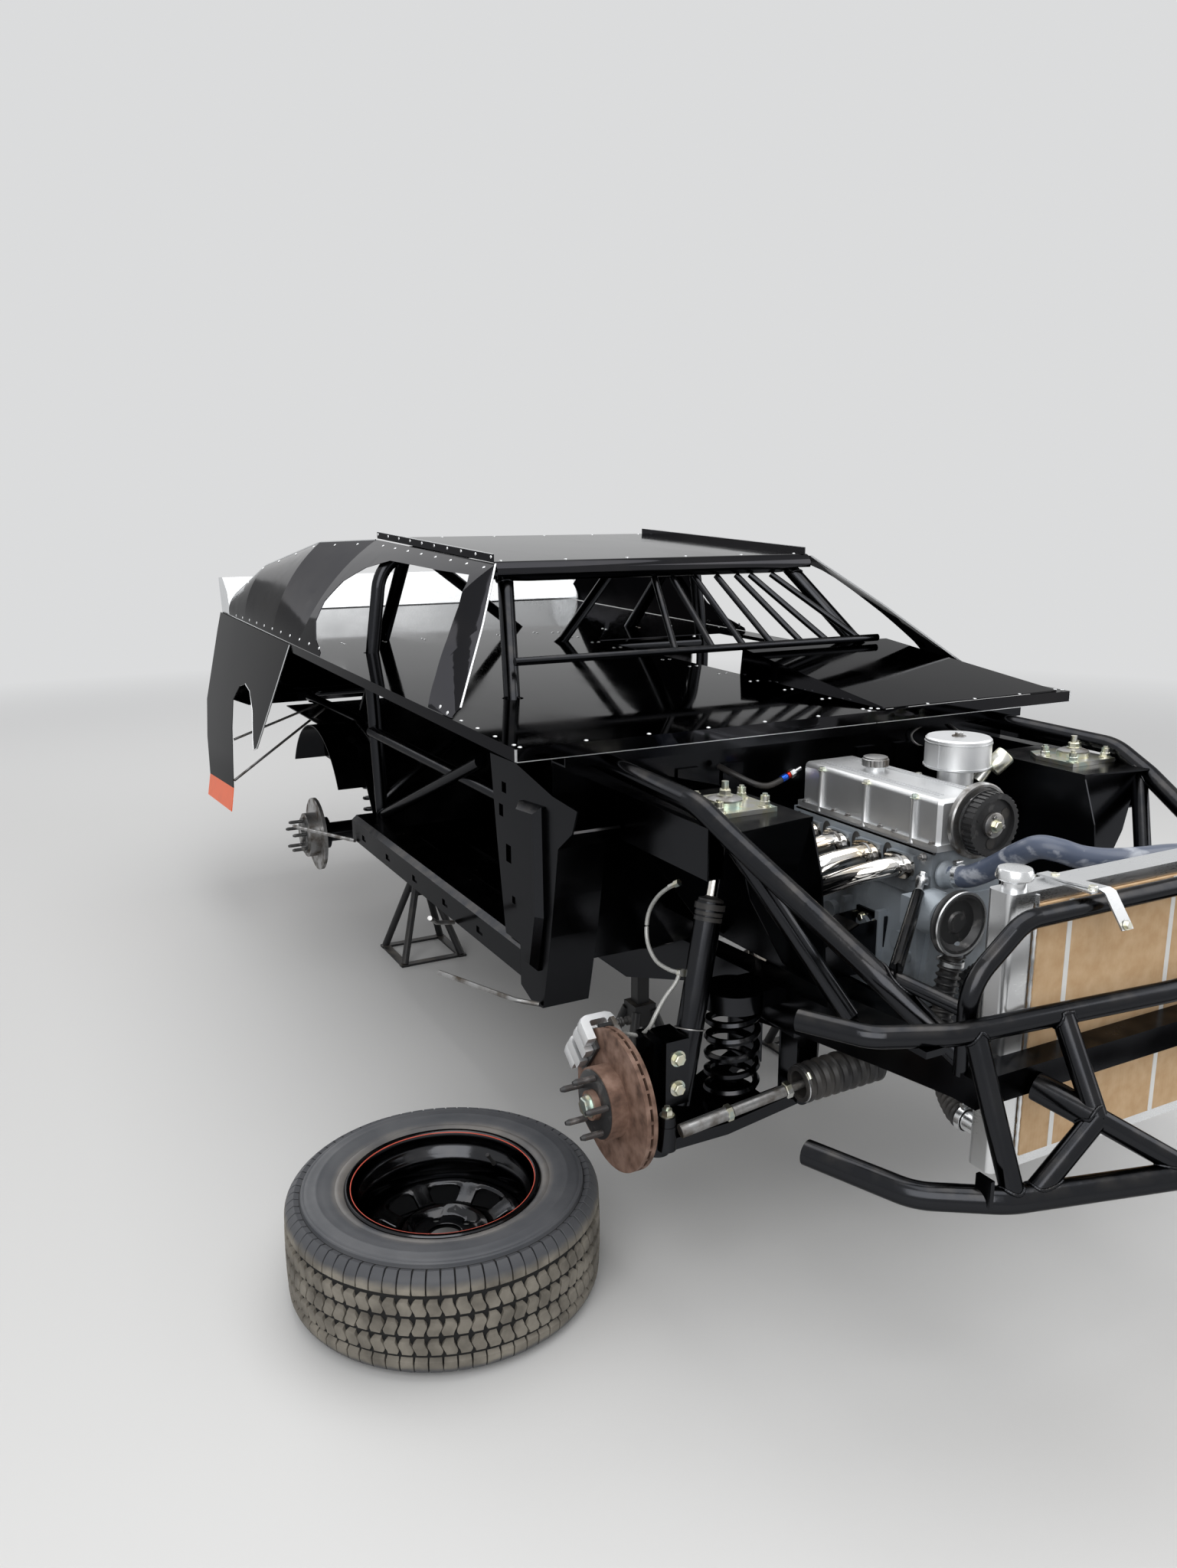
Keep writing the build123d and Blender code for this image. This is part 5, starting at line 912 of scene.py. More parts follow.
BALL_JOINT = np.array([-700.0, -30.0, 340.0])
STEER_WAY = unit(np.array([-508.0, 33.0, 1018.0]) - BALL_JOINT)
STRUT_LOW, STRUT_TOP = np.array([-660.0, -44.0, 429.0]), np.array([-508.0, 33.0, 990.0])
STRUT_WAY = unit(STRUT_TOP - STRUT_LOW)
ARM_EYE = np.array([-725.0, -108.0, 437.0])
TIE_IN, TIE_OUT = np.array([-330.0, -150.0, 470.0]), ARM_EYE - (0, 0, 36)
BOOT_IN, BOOT_OUT = np.array([-218.0, -150.0, 470.0]), np.array([-430.0, -142.0, 457.0])
HALF_STEP = math.pi / STUDS
HUBS = (
    # name, x of the stud face, y, z, stud length, turn in radians
    ("front_right", -827.0, 0.0, 446.0, 42.0, 0.0), ("front_left", 827.0, 0.0, 446.0, 42.0, HALF_STEP),
    ("rear_right", -761.0, 2553.0, 369.0, 46.0, 0.0), ("rear_left", 761.0, 2553.0, 369.0, 46.0, HALF_STEP),
)
THREAD_PITCH, THREAD_R, ROOT_R, STUD_R = 1.6, 6.72, 6.4, 6.55


def build_struts():
    def up_strut(shape, reach, way=STRUT_WAY):
        return copies(shape, STRUT_LOW + STRUT_WAY * reach, way)

    pair("damper_rod", up_strut(barrel(11.7, 0, 164, 28), 414), "header_chrome")
    gland = lathe([(0, 0), (26, 0), (26, 7), (22, 9), (14, 11), (12.5, 14), (0, 14)])
    pair("damper_gland", up_strut(gland, 412), "boot_rubber")
    collar = lathe([(25, -34), (29, -34), (29, -26), (27, -24), (29, -22), (29, -12), (31.5, -10),
                    (31.5, 2), (29, 4), (25, 4)], 48, True)
    pair("strut_collar", up_strut(collar, 408), "boot_rubber")
    pair("strut_tie", up_strut(barrel(32.5, -1.2, 1.2, 48, 30), 152, STRUT_WAY + (0, 0.1, 0)), "worn_steel")
    bolts = [copies(hexagon(22, 13, 17), [(-679, -72, 478), (-679, -72, 542)], FRONT),
             copies(studded(21, 14, 7, 22), [(-679, 4, 478), (-679, 4, 542)], (0, 1, 0))]
    pair("strut_bolts", bolts, "zinc_plate")
    boot = lathe([(23, 17), (27, 21), (28, 25), (24, 29), (17.5, 33), (17.5, 36), (12, 36), (12, 17)])
    pair("ball_joint_boot", copies(boot, BALL_JOINT, STEER_WAY), "boot_rubber", body=None)
    pair("steering_arm_nut", copies(studded(20, 14, 6, 20), ARM_EYE + (0, 0, 10), UP), "zinc_plate")


def build_tie_rods():
    """Lock nuts at the ends of each adjuster, and the lips and bands of the rubber boots."""
    way, run = unit(TIE_OUT - TIE_IN), unit(BOOT_OUT - BOOT_IN)
    nuts = copies(hexagon(30, 13), [TIE_IN + way * 121, TIE_IN + way * 258.5], way)
    pair("tie_rod_nuts", nuts, "zinc_plate", body="tie_rod")
    lip = lathe([(27.5, -4), (34.5, -5), (37.5, -2), (37.5, 1.5), (28.5, 1.5), (27.5, 0)], 48, True)
    lips, bands, screws = [], [], []
    for _, s in SIDES:
        lips.append(copies(lip, flipped(BOOT_OUT, s), flipped(run, s)))
        for spot, radius in ((BOOT_IN + run * 6, 32.6), (BOOT_OUT - run * 5, 38.2)):
            band = barrel(radius, -3.5, 3.5, 48, radius - 1.5)
            bands.append(copies(band, flipped(spot, s), flipped(run, s)))
            screws.append(flipped(spot + (0, -0.7 * radius, 0.75 * radius), s))
    piece("boot_lips", lips, "boot_rubber")
    piece("boot_bands", bands, "bare_aluminium")
    fitted("boot_band_screws", barrel(4.2, -7, 7, 10), screws, (0, 0.7, 0.7), "zinc_plate")


def build_hubs():
    """Threads on the studs, the pad that they stand in and the front hubs' nuts."""
    for name, face, y, z, length, turn in HUBS:
        body, way = "hub_" + name, np.array([math.copysign(1.0, face), 0, 0])
        steps = np.arange(0, length, THREAD_PITCH)
        thread = np.stack([np.tile([THREAD_R, ROOT_R], len(steps)),
                           np.repeat(steps, 2) + np.tile([0.0, THREAD_PITCH / 2], len(steps))], 1)
        tip = [(STUD_R, length), (4.1, length + 8.2), (0, length + 8.2)]
        angle = turn + np.arange(STUDS) * 2 * np.pi / STUDS
        ring = np.stack([0 * angle, STUD_CIRCLE_R * np.sin(angle), STUD_CIRCLE_R * np.cos(angle)], -1)
        stud = lathe(np.concatenate([[(0, 0)], thread, tip]), 16)
        fitted("stud_threads_" + name, stud, ring + (face, y, z), way, "cog_black", "worn_steel", body)
        pad = lathe([(31, 0), (70, 0), (70, 1.4), (68.5, 2.0), (31, 2.0)], 64, True)
        fitted("hub_flange_" + name, pad, (face, y, z), way, "cog_black", "worn_steel", body)
        if name.startswith("front"):
            nut = copies(hexagon(34.5, 14.8), np.array([face, y, z]) + way * 14.2, way)
            washer = copies(barrel(24, 13.6, 16, 40), (face, y, z), way)
            piece("hub_nut_" + name, [washer, nut], "zinc_plate", body=body)


HOSE_R = 4.5
STRUT_CLIP = (-620, 13, 682)


def build_brake_hoses():
    """Flexible line from the apron to a clip on the strut, and from there to the caliper."""
    upper = curve([(-594, 84, 846), (-600, 102, 834), (-607, 130, 808), (-613, 153, 771), (-621, 151, 733),
                   (-628, 130, 702), (-632, 90, 682), (-630, 40, 680), (-622, 14, 682)], 10)
    lower = curve([(-622, 14, 682), (-634, 12, 662), (-662, 8, 636), (-688, 0, 608), (-702, 2, 582),
                   (-712, 24, 560), (-728, 52, 556), (-738, 72, 556)], 10)
    for side, s in SIDES:
        line = pipe(flipped(upper, s), HOSE_R, 12)
        hose = piece("brake_hose_" + side, line, "hose_grey", body=None)
        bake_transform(hose)
    pair("brake_line", pipe(lower, HOSE_R, 12), "hose_grey")
    fitting = lathe([(0, 0), (8, 0), (8, 12), (5.6, 14), (5.6, 30), (0, 30)], 6)
    pair("hose_fitting", copies(fitting, upper[0] + (4, -12, 8), (-0.3, 0.8, -0.5)), "zinc_plate", body=None)
    pair("hose_clip", copies(barrel(8, -9, 9, 20), STRUT_CLIP, (0, 0.9, -0.3)), "zinc_plate")


CALIPER_TILT = math.radians(-52)
CALIPER_HUB = np.array([-779.0, 0.0, 446.0])


def on_caliper(points):
    """Points of the caliper's own frame, x across and z out from the hub, on the car's right side."""
    x, y, z = np.asarray(points, float).T
    cos, sin = math.cos(CALIPER_TILT), math.sin(CALIPER_TILT)
    return np.stack([x, y * cos - z * sin, y * sin + z * cos], -1) + CALIPER_HUB


def arch(outline, y0, y1, ease):
    """Outline (x, z) carried from y0 to y1, drawn in by the ease at both ends."""
    x, z = np.asarray(outline, float).T
    rows = [np.stack([x.mean() + k * (x - x.mean()), 0 * x + y, z.mean() + k * (z - z.mean())], 1)
            for y, k in ((y0, 1 - ease), (y0 + 4, 1.0), (y1 - 4, 1.0), (y1, 1 - ease))]
    return ended(np.array(rows))


def inboard(shape, y, z):
    """A shape turned to stand along the axle towards the car's middle, at (y, z) of the caliper."""
    return shape[0][:, [2, 1, 0]] * (1, 1, -1) + (0, y, z), shape[1]


def build_calipers():
    """Cast floating caliper: bridge with its window, fingers, piston housing, pads, pins and bracket."""
    bridge = [(-40, 108), (-40, 150), (-33, 161), (-24, 165), (24, 165), (36, 160), (42, 148), (42, 112),
              (20, 108), (20, 148), (16, 151), (-16, 151), (-20, 148), (-20, 108)]
    finger = [(-40, 96), (-40, 152), (-36, 158), (-26, 160), (-22, 156), (-21, 96)]
    web = [(19, 100), (19, 156), (26, 162), (36, 158), (42, 146), (42, 100)]
    lug = [(10, 84), (10, 112), (18, 118), (30, 118), (30, 84)]
    piston = lathe([(0, 19), (25, 19), (25, 22), (30, 24), (31, 44), (27, 50), (14, 52), (0, 52)], 40)
    pin = lathe([(0, -8), (6, -8), (6, 30), (9, 30), (10.5, 33), (8, 36), (10.5, 39), (8, 42), (10.5, 45),
                 (9, 48), (6.5, 48), (6.5, 56), (9.5, 56), (9.5, 63), (0, 63)], 20)
    bleeder = lathe([(0, 0), (5, 0), (5, 8), (3, 9), (3, 18), (4, 18), (4, 21), (0, 21)], 12)
    cast = [arch(bridge, -62, -34, 0.05), arch(bridge, 34, 62, 0.05), arch(finger, -34, -8, 0.04),
            arch(finger, 8, 34, 0.04), arch(web, -34, 34, 0.02),
            arch([(-22, 157), (-22, 165), (22, 165), (22, 157)], -7, 7, 0.02), inboard(piston, 0, 124)]
    carrier = [arch(lug, -84, -58, 0.05), arch(lug, 58, 84, 0.05),
               arch([(22, 76), (22, 96), (32, 96), (32, 76)], -84, 84, 0.03)]
    ears = [arch([(20, 112), (20, 142), (30, 142), (30, 112)], y - 12, y + 12, 0.1) for y in (-68, 68)]
    pads = [arch([(x, 92), (x, 142), (x + 7, 142), (x + 7, 92)], -50, 50, 0.02) for x in (-21, 14)]
    pins = [inboard(pin, y, 128) for y in (-70, 70)]
    for name, shapes, finish, slot, replaces in (
            ("caliper_casting", cast, "cast_aluminium", None, "caliper"),
            ("brake_pads", pads, "cog_black", "worn_steel", None),
            ("slide_pins", pins, "boot_rubber", None, None),
            ("caliper_carrier", carrier + ears, "worn_steel", None, None),
            ("bleed_screw", [(bleeder[0] + (32, -18, 160), bleeder[1])], "zinc_plate", None, None)):
        points, faces = merged(shapes)
        pair(name, (on_caliper(points), faces), finish, crease=28, replaces=replaces)


# ---- exhaust, hoses and radiator ----

PRIMARIES = (
    # places along each pipe, front cylinder first; the last is its place in the collector's mouth
    ((-112, -62, 858), (-150, -60, 857), (-205, -22, 836), (-248, 50, 792), (-264, 124, 742),
     (-262, 180, 680), (-256, 226, 610), (-249, 255, 552), (-247, 283, 527)),
    ((-112, 42, 858), (-158, 44, 857), (-228, 60, 842), (-276, 100, 806), (-298, 146, 745), (-292, 190, 672),
     (-262, 222, 590), (-214, 246, 520), (-201, 270, 487)),
    ((-112, 146, 858), (-160, 147, 858), (-230, 154, 846), (-280, 176, 810), (-286, 212, 748),
     (-262, 240, 672), (-226, 256, 600), (-204, 270, 556), (-201, 301, 525)),
    ((-112, 250, 858), (-156, 250, 857), (-212, 244, 842), (-246, 234, 800), (-258, 232, 735),
     (-266, 236, 650), (-264, 238, 560), (-256, 246, 516), (-247, 264, 489)),
)
COLLECTOR, COLLECTOR_WAY = (-224.0, 292.0, 506.0), (0.0, 0.91, -0.415)
TAILPIPE = ((-224, 380, 466), (-223, 440, 438), (-212, 520, 412), (-170, 590, 403), (-147, 660, 402),
            (-145, 780, 402), (-145, 1500, 402))


def rounded_plate(centre, long, tall, thick, steps=40):
    """Flange plate: a superellipse of power 2 / 0.77 round an axis along x."""
    ring = circle(1.0, steps)
    rim = np.pad(np.sign(ring) * np.abs(ring) ** 0.77 * (long, tall), ((0, 0), (1, 0)))
    rings = [rim * (1, k, k) + (x, 0, 0) for x, k in ((thick, 0.0), (thick, 1.0), (0.0, 1.0), (0.0, 0.0))]
    return (np.stack(rings, 1) + centre).reshape(-1, 3), grid_faces(steps, 4, True, False)


def build_header():
    """The bought header: four bent primaries, their flanges and welds, the collector and the tailpipe."""
    pipes = [pipe(curve(path, 9), 21.2, 28) for path in PRIMARIES]
    pipes += [rounded_plate((-114.4, y, 860), 44, 27, -9) for y in PORTS]
    cone = lathe([(0, -34), (52, -34), (57, -28), (57, 0), (54, 30), (33, 108), (33, 118), (0, 118)], 56)
    pipes += [copies(cone, COLLECTOR, COLLECTOR_WAY), pipe(curve(TAILPIPE, 8), 31, 28)]
    piece("header_pipes", pipes, "header_chrome", crease=40, replaces=["header"])
    nuts = [(-123.4, y + dy, z) for y in PORTS for dy, z in ((-35, 862), (35, 858))]
    fitted("header_nuts", studded(14, 10, 4.5, 19), nuts, (-1, 0, 0), "worn_steel")
    turn = circle(21.6, 48)
    welds = [closed_bead(np.pad(turn, ((0, 0), (1, 0))) + (-124.6, y + 1.5, 858), 3.4, 22) for y in PORTS]
    piece("header_welds", welds, "worn_steel", crease=60)
    fitted("collector_band", barrel(60, -12, 6, 64, 57.4), COLLECTOR, COLLECTOR_WAY, "worn_steel")
    fitted("collector_lug", barrel(7, 0, 26, 12), (-285, 292, 494), (-0.1, 0.3, 0.95), "zinc_plate")


def ribbed(path, radius, rise, every):
    """Corrugated hose: its radius swells by a raised cosine once every so many mm of its length."""
    reach = np.concatenate([[0], np.cumsum(np.linalg.norm(np.diff(path, axis=0), axis=1))])
    even = np.linspace(0, reach[-1], int(reach[-1] / every * 8))
    line = np.stack([np.interp(even, reach, path[:, k]) for k in range(3)], 1)
    wave = np.maximum(0, np.cos(even * 2 * np.pi / every)) ** 0.6
    return pipe(line, radius, 22, 1 + rise / radius * (wave - 0.5))


def clamp(spot, way, radius):
    """Worm-drive hose clamp: a band and the screw's barrel beside it."""
    band = copies(barrel(radius + 0.6, -6, 6, 48, radius - 1.5), spot, way)
    side = bases(way)[0]
    screw = lathe([(0, -11), (5.5, -11), (5.5, 8), (3, 9), (3, 13), (0, 13)], 14)
    return merged([band, copies(screw, spot + side[1] * (radius + 5), side[0])])


PUMP_FACE = (-152, -258, 800)


def build_hoses():
    upper = curve([(-72, -172, 858), (-64, -215, 868), (-56, -270, 903), (-60, -330, 945), (-56, -372, 969),
                   (-34, -402, 967), (2, -424, 954), (56, -442, 945), (130, -452, 940), (205, -456, 936),
                   (262, -462, 932), (290, -478, 930), (295, -500, 930)], 8)
    piece("upper_hose_rubber", pipe(upper, 23.5, 28), "hose_rubber", replaces=["upper_hose"])
    lower = curve([(-146, -262, 728), (-156, -262, 690), (-174, -268, 620), (-206, -300, 552),
                   (-250, -370, 512), (-282, -430, 500), (-295, -470, 500)], 14)
    piece("lower_hose_rubber", ribbed(lower, 22.5, 6.0, 15.0), "boot_rubber")
    neck = lathe([(0, 0), (30, 0), (31, 5), (27, 12), (25.5, 16), (25.5, 34), (0, 34)], 36)
    fitted("thermostat_neck", neck, (-72, -150, 854), (0.08, -1, 0.12), "engine_grey")
    body = lathe([(0, -50), (44, -50), (46, -30), (34, -6), (22, 0), (22, 22), (0, 22)], 36)
    bend = curve([(-150, -232, 790), (-148, -246, 762), (-146, -260, 735), (-148, -262, 716)], 6)
    case = [copies(body, (-152, -236, 800), FRONT), pipe(bend, 19.5, 22),
            block(-190, -100, -190, -150, 770, 830)]
    piece("water_pump", case, "engine_grey")
    rim = lathe([(0, 6), (18, 6), (20, 2), (50, 2), (54, 8), (62, 9), (66, 7), (67, 10), (64, 13), (60, 15),
                 (60, 19), (64, 21), (67, 24), (66, 27), (56, 26), (54, 22), (46, 12), (24, 12), (20, 16),
                 (0, 16)], 72)
    fitted("pump_pulley", rim, PUMP_FACE, FRONT, "cog_black", "worn_steel")
    lip = lathe([(62, 26.6), (67.4, 24.2), (67.8, 24.8), (66.4, 27.6), (62, 27.8)], 72, True)
    fitted("pump_pulley_lip", lip, PUMP_FACE, FRONT, "bare_aluminium")
    clamps = (((-149, -262, 712), (-0.1, 0, -1), 24), ((-68, -188, 861), (0.1, -1, 0.2), 24.5),
              ((295, -488, 930), FRONT, 24.5), ((-294, -462, 500), FRONT, 23.5))
    piece("hose_clamps", [clamp(*row) for row in clamps], "bare_aluminium")


def folded(points, wide, thick):
    """Flat bar folded at each point along a line across the car, in a given width and thickness."""
    points = np.asarray(points, float)
    step = unit(np.diff(points, axis=0))
    way = unit(np.concatenate([step[:1], step[:-1] + step[1:], step[-1:]]))
    half, rise = np.array([wide / 2, 0, 0]), unit(np.cross(way, (1.0, 0, 0))) * thick / 2
    corners = ((-1, -1), (1, -1), (1, 1), (-1, 1))
    return ended(np.stack([points + across * half + up * rise for across, up in corners], 1))


TANK_EDGE, TANK_LOW, TANK_TOP = 267, 452, 962
CORE_LOW, CORE_TOP = 470, 945
CARD_FACE = -566


def build_radiator():
    fins = [block(x - 1, x + 1, -511.9, -502, CORE_LOW, CORE_TOP) for x in np.arange(-260, 261, 9.0)]
    piece("core_tubes", fins, "bare_aluminium")
    swell = 1 + 0.2 * np.cos(np.arange(60) * 2.2)
    seams = [pipe([(x, y, z) for z in np.linspace(TANK_LOW, TANK_TOP, 60)], 3.5, 7, swell)
             for x in (-TANK_EDGE, TANK_EDGE) for y in (-503, -561)]
    piece("tank_seams", seams, "bare_aluminium")
    neck = lathe([(0, 0), (21.5, 0), (21.5, 14), (27, 18), (31, 19), (32.5, 21), (32.5, 25), (30, 34),
                  (28.5, 37), (24, 38.4), (0, 38.8)], 64)
    fitted("filler_neck", neck, (-295, -532, 969), UP, "bare_aluminium")
    piece("filler_tab", block(-262, -252, -540, -524, 986, 990), "zinc_plate")
    rods = (((-330, -574, 760), (-300, -576, 748), (-268, -575, 752), (-250, -573, 748)),
            ((-330, -574, 736), (-304, -576, 722), (-268, -575, 730), (-248, -573, 738), (-246, -573, 730)))
    piece("tank_rods", [pipe(curve(rod, 6), 3, 10) for rod in rods], "worn_steel")
    heads = [(x, y, 973) for x in (-190, 190) for y in (-608, -528)]
    fitted("radiator_bracket_bolts", hexagon(13, 7, 9), heads, UP, "zinc_plate")


def build_radiator_straps():
    path = [(-198, -506, 975.4), (-190, -560, 975.4), (-176, -618, 975.4), (-170, -626, 970),
            (-152, -648, 916), (-149, -651, 907)]
    straps = [folded(flipped(path, s), 28, 3.2) for _, s in SIDES]
    piece("radiator_straps", straps, "bare_aluminium", crease=20)
    bolts = [flipped((-152, -650.6, 916), s) for _, s in SIDES]
    fitted("radiator_strap_bolts", hexagon(12, 7, 9), bolts, (0, -0.95, 0.3), "zinc_plate")
    board = block(-265, 265, CARD_FACE, -554.5, CORE_LOW, CORE_TOP)
    piece("card_board", board, "card", replaces=["radiator_cover"])
    bands = [block(x - 5.5, x + 5.5, CARD_FACE - 1.2, CARD_FACE, CORE_LOW + 1, CORE_TOP - 1)
             for x in (-189, 85)]
    piece("card_bands", bands, "band_white")


# ---- engine details ----

def plate_between(corners, thick):
    """Flat plate through its corners, thickened to both sides of its plane."""
    corners = np.asarray(corners, float)
    way = unit(np.cross(corners[1] - corners[0], corners[2] - corners[0])) * thick / 2
    return ended(np.array([corners - way, corners + way]))


def build_engine_stay():
    """Tube from the cross tube up to the head's front corner, with a threaded rod end at the top."""
    low, top = np.array([-501.0, -478.0, 842.0]), np.array([-122.0, -138.0, 846.0])
    way, eye = unit(top - low), (0.3, 0.1, 1)
    piece("engine_stay", pipe(along(low, top - way * 96, 60), 12.5, 20), "chassis_black")
    ball = lathe([(0, -8), (13, -8), (14, -5), (14, 5), (13, 8), (0, 8)], 28)
    rod = [pipe(along(top - way * 100, top - way * 18, 20), 6.2, 14),
           copies(hexagon(21, 16), top - way * 100, way),
           copies(ball, top, eye), copies(hexagon(16, 10, 12), top + (2.4, 0.8, 8), eye)]
    piece("engine_stay_end", rod, "bare_aluminium")
    foot = plate_between([(-512, -488, 826), (-490, -474, 826), (-488, -470, 856), (-512, -486, 856)], 4)
    piece("engine_stay_foot", foot, "chassis_black")


MOUNT_NEAR, MOUNT_FAR, MOUNT_FRONT, MOUNT_REAR, MOUNT_TOP = -104, -366, -10, 66, 716


def build_engine_mounts():
    web = [(MOUNT_NEAR, 720), (MOUNT_NEAR - 72, MOUNT_TOP), (MOUNT_FAR, 640), (MOUNT_FAR, 606),
           (MOUNT_NEAR - 30, 600), (MOUNT_NEAR, 606)]
    plates = [plate_between([(x, y, z) for x, z in web], 5) for y in (MOUNT_FRONT, MOUNT_REAR)]
    slope = [(MOUNT_NEAR - 70, MOUNT_FRONT, MOUNT_TOP), (MOUNT_NEAR - 70, MOUNT_REAR, MOUNT_TOP),
             (MOUNT_FAR, MOUNT_REAR, 640), (MOUNT_FAR, MOUNT_FRONT, 640)]
    plates.append(plate_between(slope, 5))
    face = [(MOUNT_FRONT - 10, 726), (MOUNT_REAR + 10, 726), (MOUNT_REAR + 10, 600), (MOUNT_FRONT - 10, 600)]
    plates.append(plate_between([(MOUNT_NEAR - 2, y, z) for y, z in face], 8))
    pair("engine_mount", plates, "chassis_black", body=None, crease=20)
    heads = [(MOUNT_NEAR - 7, y, z) for y in (MOUNT_FRONT + 14, MOUNT_REAR - 14) for z in (622, 704)]
    pair("engine_mount_bolts", copies(hexagon(17, 10, 13), heads, (-1, 0, 0)), "zinc_plate", body=None)


def build_engine_lines():
    wall = [(560, 430, 1006), (527, 431, 1015), (481, 430, 1043), (438, 430, 1050), (384, 430, 1035),
            (361, 430, 1021), (366, 431, 1002), (392, 434, 986), (430, 437, 975)]
    piece("firewall_line", pipe(curve(wall, 10), 3.2, 10), "worn_steel")
    hose = [(-262, 420, 1000), (-246, 378, 986), (-212, 340, 966), (-181, 330, 960), (-150, 328, 968),
            (-136, 328, 975)]
    piece("fuel_hose", pipe(curve(hose, 8), 7.5, 14), "boot_rubber")
    way, start = unit(np.array([38.0, 0.0, 15.0])), np.array([-142.0, 328.0, 972.0])
    sleeve = lathe([(0, 0), (9, 0), (9, 14), (7.5, 17), (0, 17)], 20)
    fitted("fuel_fitting_blue", sleeve, start, way, "anodised_blue", "zinc_plate")
    fitted("fuel_fitting_red", barrel(8.4, 0, 7, 20), start + way * 18, way, "anodised_red", "zinc_plate")
    fitted("fuel_fitting_nut", hexagon(19, 14), start + way * 26, way, "bare_aluminium")
    piece("fuel_fitting_stem", pipe(along(start + way * 38, start + way * 60, 10), 5, 12), "bare_aluminium")


def build_head_details():
    wells = []
    ring = np.pad(circle(1.0, 30), ((0, 0), (1, 0)))
    sections = ((-103.0, 0, 0), (-105.4, 11.5, 20), (-105.4, 13.5, 22.5), (-103.6, 13.5, 22.5))
    for y in np.array(PORTS) + 52:
        rings = [ring * (1, ry, rz) + (x, y, 872) for x, ry, rz in sections]
        wells.append((np.stack(rings, 1).reshape(-1, 3), grid_faces(30, 4, True, False)))
    piece("plug_wells", wells, "boot_rubber")
    gasket = [strip([(x, -148, 902.5), (x, 316, 902.5)], 5, 4.5) for x in (-101.5, 74)]
    piece("cover_gasket", gasket, "boot_rubber")
    spots = [(-105, y, z) for y, z in ((-128, 846), (-120, 890), (302, 846), (-118, 828))]
    fitted("head_studs", studded(13, 9, 4, 14), spots, (-1, 0, 0), "worn_steel")
    core = [(-104, y, z) for y, z in ((-96, 660), (12, 700), (128, 640), (250, 660))]
    fitted("block_bosses", lathe([(0, 0), (14, 0), (12, 9), (0, 9)], 24), core, (-1, 0, 0), "engine_grey")


CAN_X, CAN_Y = 120, 25


def build_air_can():
    rims = [[(73.2, 58), (74.4, 58.5), (74.4, 61), (73.2, 61.5)],
            [(73.2, 3), (75.6, 3.6), (75.6, 7), (73.2, 7.6)]]
    rims = [copies(lathe(rim, 96, True), (CAN_X, CAN_Y, 1033), UP) for rim in rims]
    piece("can_rims", rims, "bare_aluminium")
    fitted("can_nut", hexagon(16, 9, 16), (CAN_X, CAN_Y, 1104), UP, "worn_steel")
    seam = [(CAN_X - 72.6, CAN_Y - 14, z) for z in np.linspace(1038, 1098, 30)]
    piece("can_seam", pipe(seam, 1.1, 6, 1 + 0.3 * np.cos(np.arange(30) * 2.0)), "bare_aluminium")
    servo = lathe([(0, 0), (21, 0), (23, 3), (23, 44), (21, 47), (0, 47)])
    servo = [copies(servo, (186, -14, 1030), (0.62, -0.25, 0.62)),
             copies(barrel(14, 0, 34, 20), (168, 6, 1000), (0.5, -0.2, 0.8))]
    piece("carburettor_servo", servo, "zinc_plate")
    parts = [block(70, 176, -26, 100, 958, 966), block(76, 168, -20, 94, 918, 924),
             block(60, 86, 4, 40, 928, 952),
             copies(barrel(11, 0, 22, 20), (84, 14, 940), (-1, -0.4, 0)),
             copies(barrel(8, 0, 30, 16), (70, 70, 950), (-1, 0, 0.3)),
             pipe(curve([(72, -24, 948), (60, -40, 960), (76, -52, 972), (110, -50, 970)], 6), 3, 8)]
    piece("carburettor_details", parts, "cast_aluminium", crease=25)
    screws = [(x, y, 966) for x in (78, 168) for y in (-18, 92)] + [(76, -27, 940), (140, -27, 930)]
    fitted("carburettor_screws", dome(5, 3), screws, UP, "worn_steel")


# ---- stage ----

BACKDROP = (0.71, 0.715, 0.72, 1.0)


def seen(finish):
    """1 for rays from the camera and for what gloss or glass shows, 0 for the light on the object."""
    path = finish.tree.nodes.new("ShaderNodeLightPath")
    camera, gloss, glass = (Value(finish, path.outputs[f"Is {kind} Ray"])
                            for kind in ("Camera", "Glossy", "Transmission"))
    return camera.math("MAXIMUM", gloss.math("MAXIMUM", glass))


def share_out(finish, factor, first, second, output):
    """Mix Shader between two shaders' sockets, led into the tree's output node."""
    join = finish.tree.nodes.new("ShaderNodeMixShader")
    finish.join(factor, join.inputs["Fac"])
    finish.tree.links.new(first, join.inputs[1])
    finish.tree.links.new(second, join.inputs[2])
    finish.tree.links.new(join.outputs["Shader"], finish.tree.nodes[output].inputs["Surface"])


def stage_floor():
    """Plain pale floor that runs over into the backdrop's own colour well away from the object."""
    mesh = bpy.data.meshes.new("studio_floor")
    corners = [(-60.0, -60.0, 0), (60.0, -60.0, 0), (60.0, 60.0, 0), (-60.0, 60.0, 0)]
    mesh.from_pydata(corners, [], [(0, 1, 2, 3)])
    floor = bpy.data.objects.new("studio_floor", mesh)
    bpy.context.scene.collection.objects.link(floor)
    f = Finish("studio_floor", Base_Color=(0.60, 0.598, 0.59), Roughness=0.6, Specular_IOR_Level=0.2)
    away = (f.axis("X") ** 2 + f.axis("Y") ** 2) ** 0.5
    glow = f.node("ShaderNodeEmission", values={"Color": BACKDROP, "Strength": 1.0})
    share_out(f, away.clipped(3.6, 9.5) * seen(f), f.shader.outputs["BSDF"], glow.socket, "Material Output")
    mesh.materials.append(f.material)


class Sky:
    """Carries the world's node tree for the shader maths."""

    def __init__(self, tree):
        self.tree = tree

    node = Finish.node
    join = Finish.join


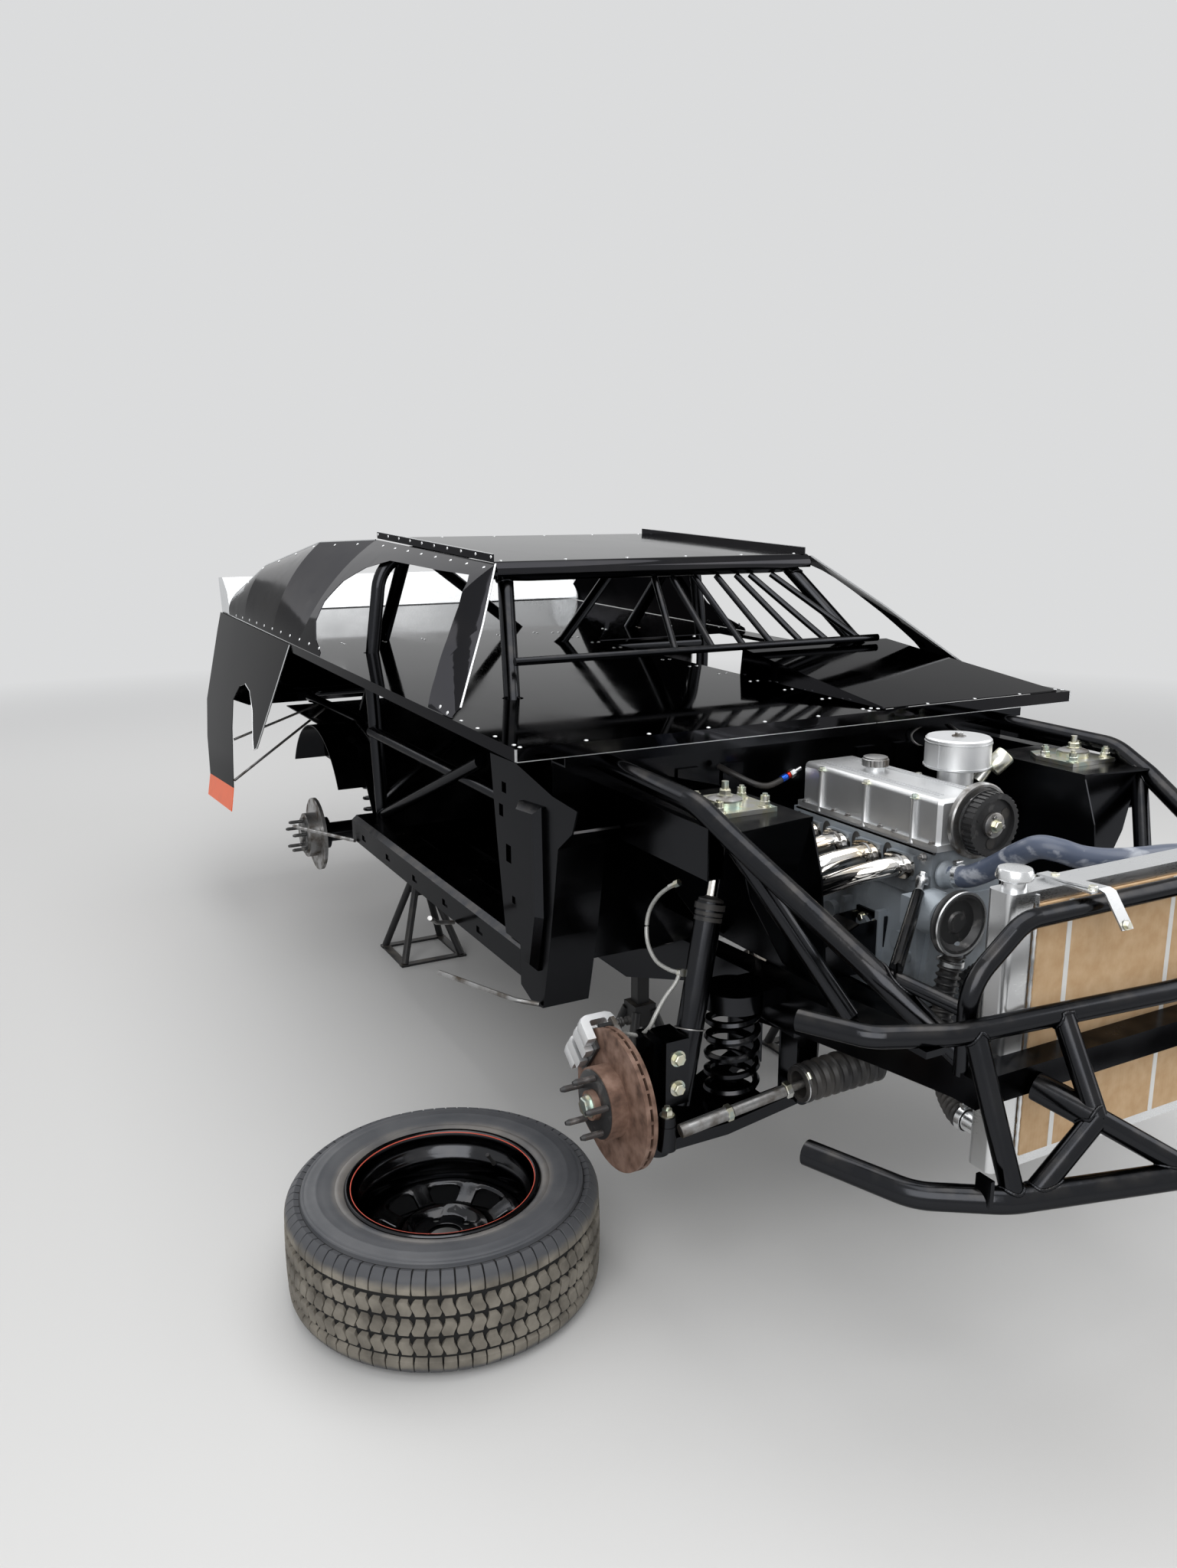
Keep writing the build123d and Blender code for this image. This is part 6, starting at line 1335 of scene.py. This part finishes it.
def stage_world():
    world = bpy.data.worlds.new("studio")
    bpy.context.scene.world = world
    world.use_nodes = True
    sky = Sky(world.node_tree)
    back = world.node_tree.nodes["Background"]
    back.inputs["Color"].default_value = (0.60, 0.605, 0.62, 1.0)
    back.inputs["Strength"].default_value = 0.75
    view = sky.node("ShaderNodeBackground", values={"Color": BACKDROP, "Strength": 1.0})
    share_out(sky, seen(sky), back.outputs["Background"], view.socket, "World Output")


LAMPS = (
    # name, place in mm from the front axle line, aimed at, width, depth (m), power (W)
    ("key", (-3600, -3800, 4200), (0, 900, 700), 5.0, 5.0, 250.0),
    ("overhead", (200, 1000, 5200), (0, 1000, 0), 7.0, 4.0, 170.0),
    ("side", (4600, -1800, 3000), (0, 300, 700), 4.0, 4.0, 120.0),
    ("behind", (-1500, 7500, 3800), (0, 1500, 900), 6.0, 3.0, 100.0),
)


def stage_lamps():
    for name, place, target, width, depth, power in LAMPS:
        light = bpy.data.lights.new(name, "AREA")
        light.shape = "RECTANGLE"
        light.size, light.size_y = width, depth
        light.energy = power
        lamp = bpy.data.objects.new(name, light)
        bpy.context.scene.collection.objects.link(lamp)
        lamp.location = at(*place)
        lamp.rotation_euler = Vector(at(*target) - at(*place)).to_track_quat("-Z", "Y").to_euler()


EYE = (-1833.0, -1893.0, 1604.0)
YAW, PITCH, ROLL = 27.76, 13.12, 0.24
FOCAL_PX, PHOTO_H = 1532.6, 2048.0


def stage_camera():
    """The photo's own standpoint: turned YAW from straight back towards the car's left, and PITCH down."""
    data = bpy.data.cameras.new("photo_view")
    data.sensor_fit = "VERTICAL"
    data.sensor_height = 36.0
    data.lens = FOCAL_PX * data.sensor_height / PHOTO_H
    data.clip_end = 200.0
    camera = bpy.data.objects.new("photo_view", data)
    bpy.context.scene.collection.objects.link(camera)
    camera.location = at(*EYE)
    camera.rotation_mode = "XYZ"
    camera.rotation_euler = (math.radians(90 - PITCH), math.radians(ROLL), -math.radians(YAW))
    bpy.context.scene.camera = camera


for build in (
        build_tyre, build_sheet_metal, build_cam_cover, build_towers, build_timing, build_struts,
        build_tie_rods, build_hubs, build_brake_hoses, build_calipers, build_header, build_hoses,
        build_radiator, build_radiator_straps, build_engine_stay, build_engine_mounts, build_engine_lines,
        build_head_details, build_air_can, stage_floor, stage_world, stage_lamps, stage_camera):
    build()
bpy.context.scene.view_settings.view_transform = "Standard"
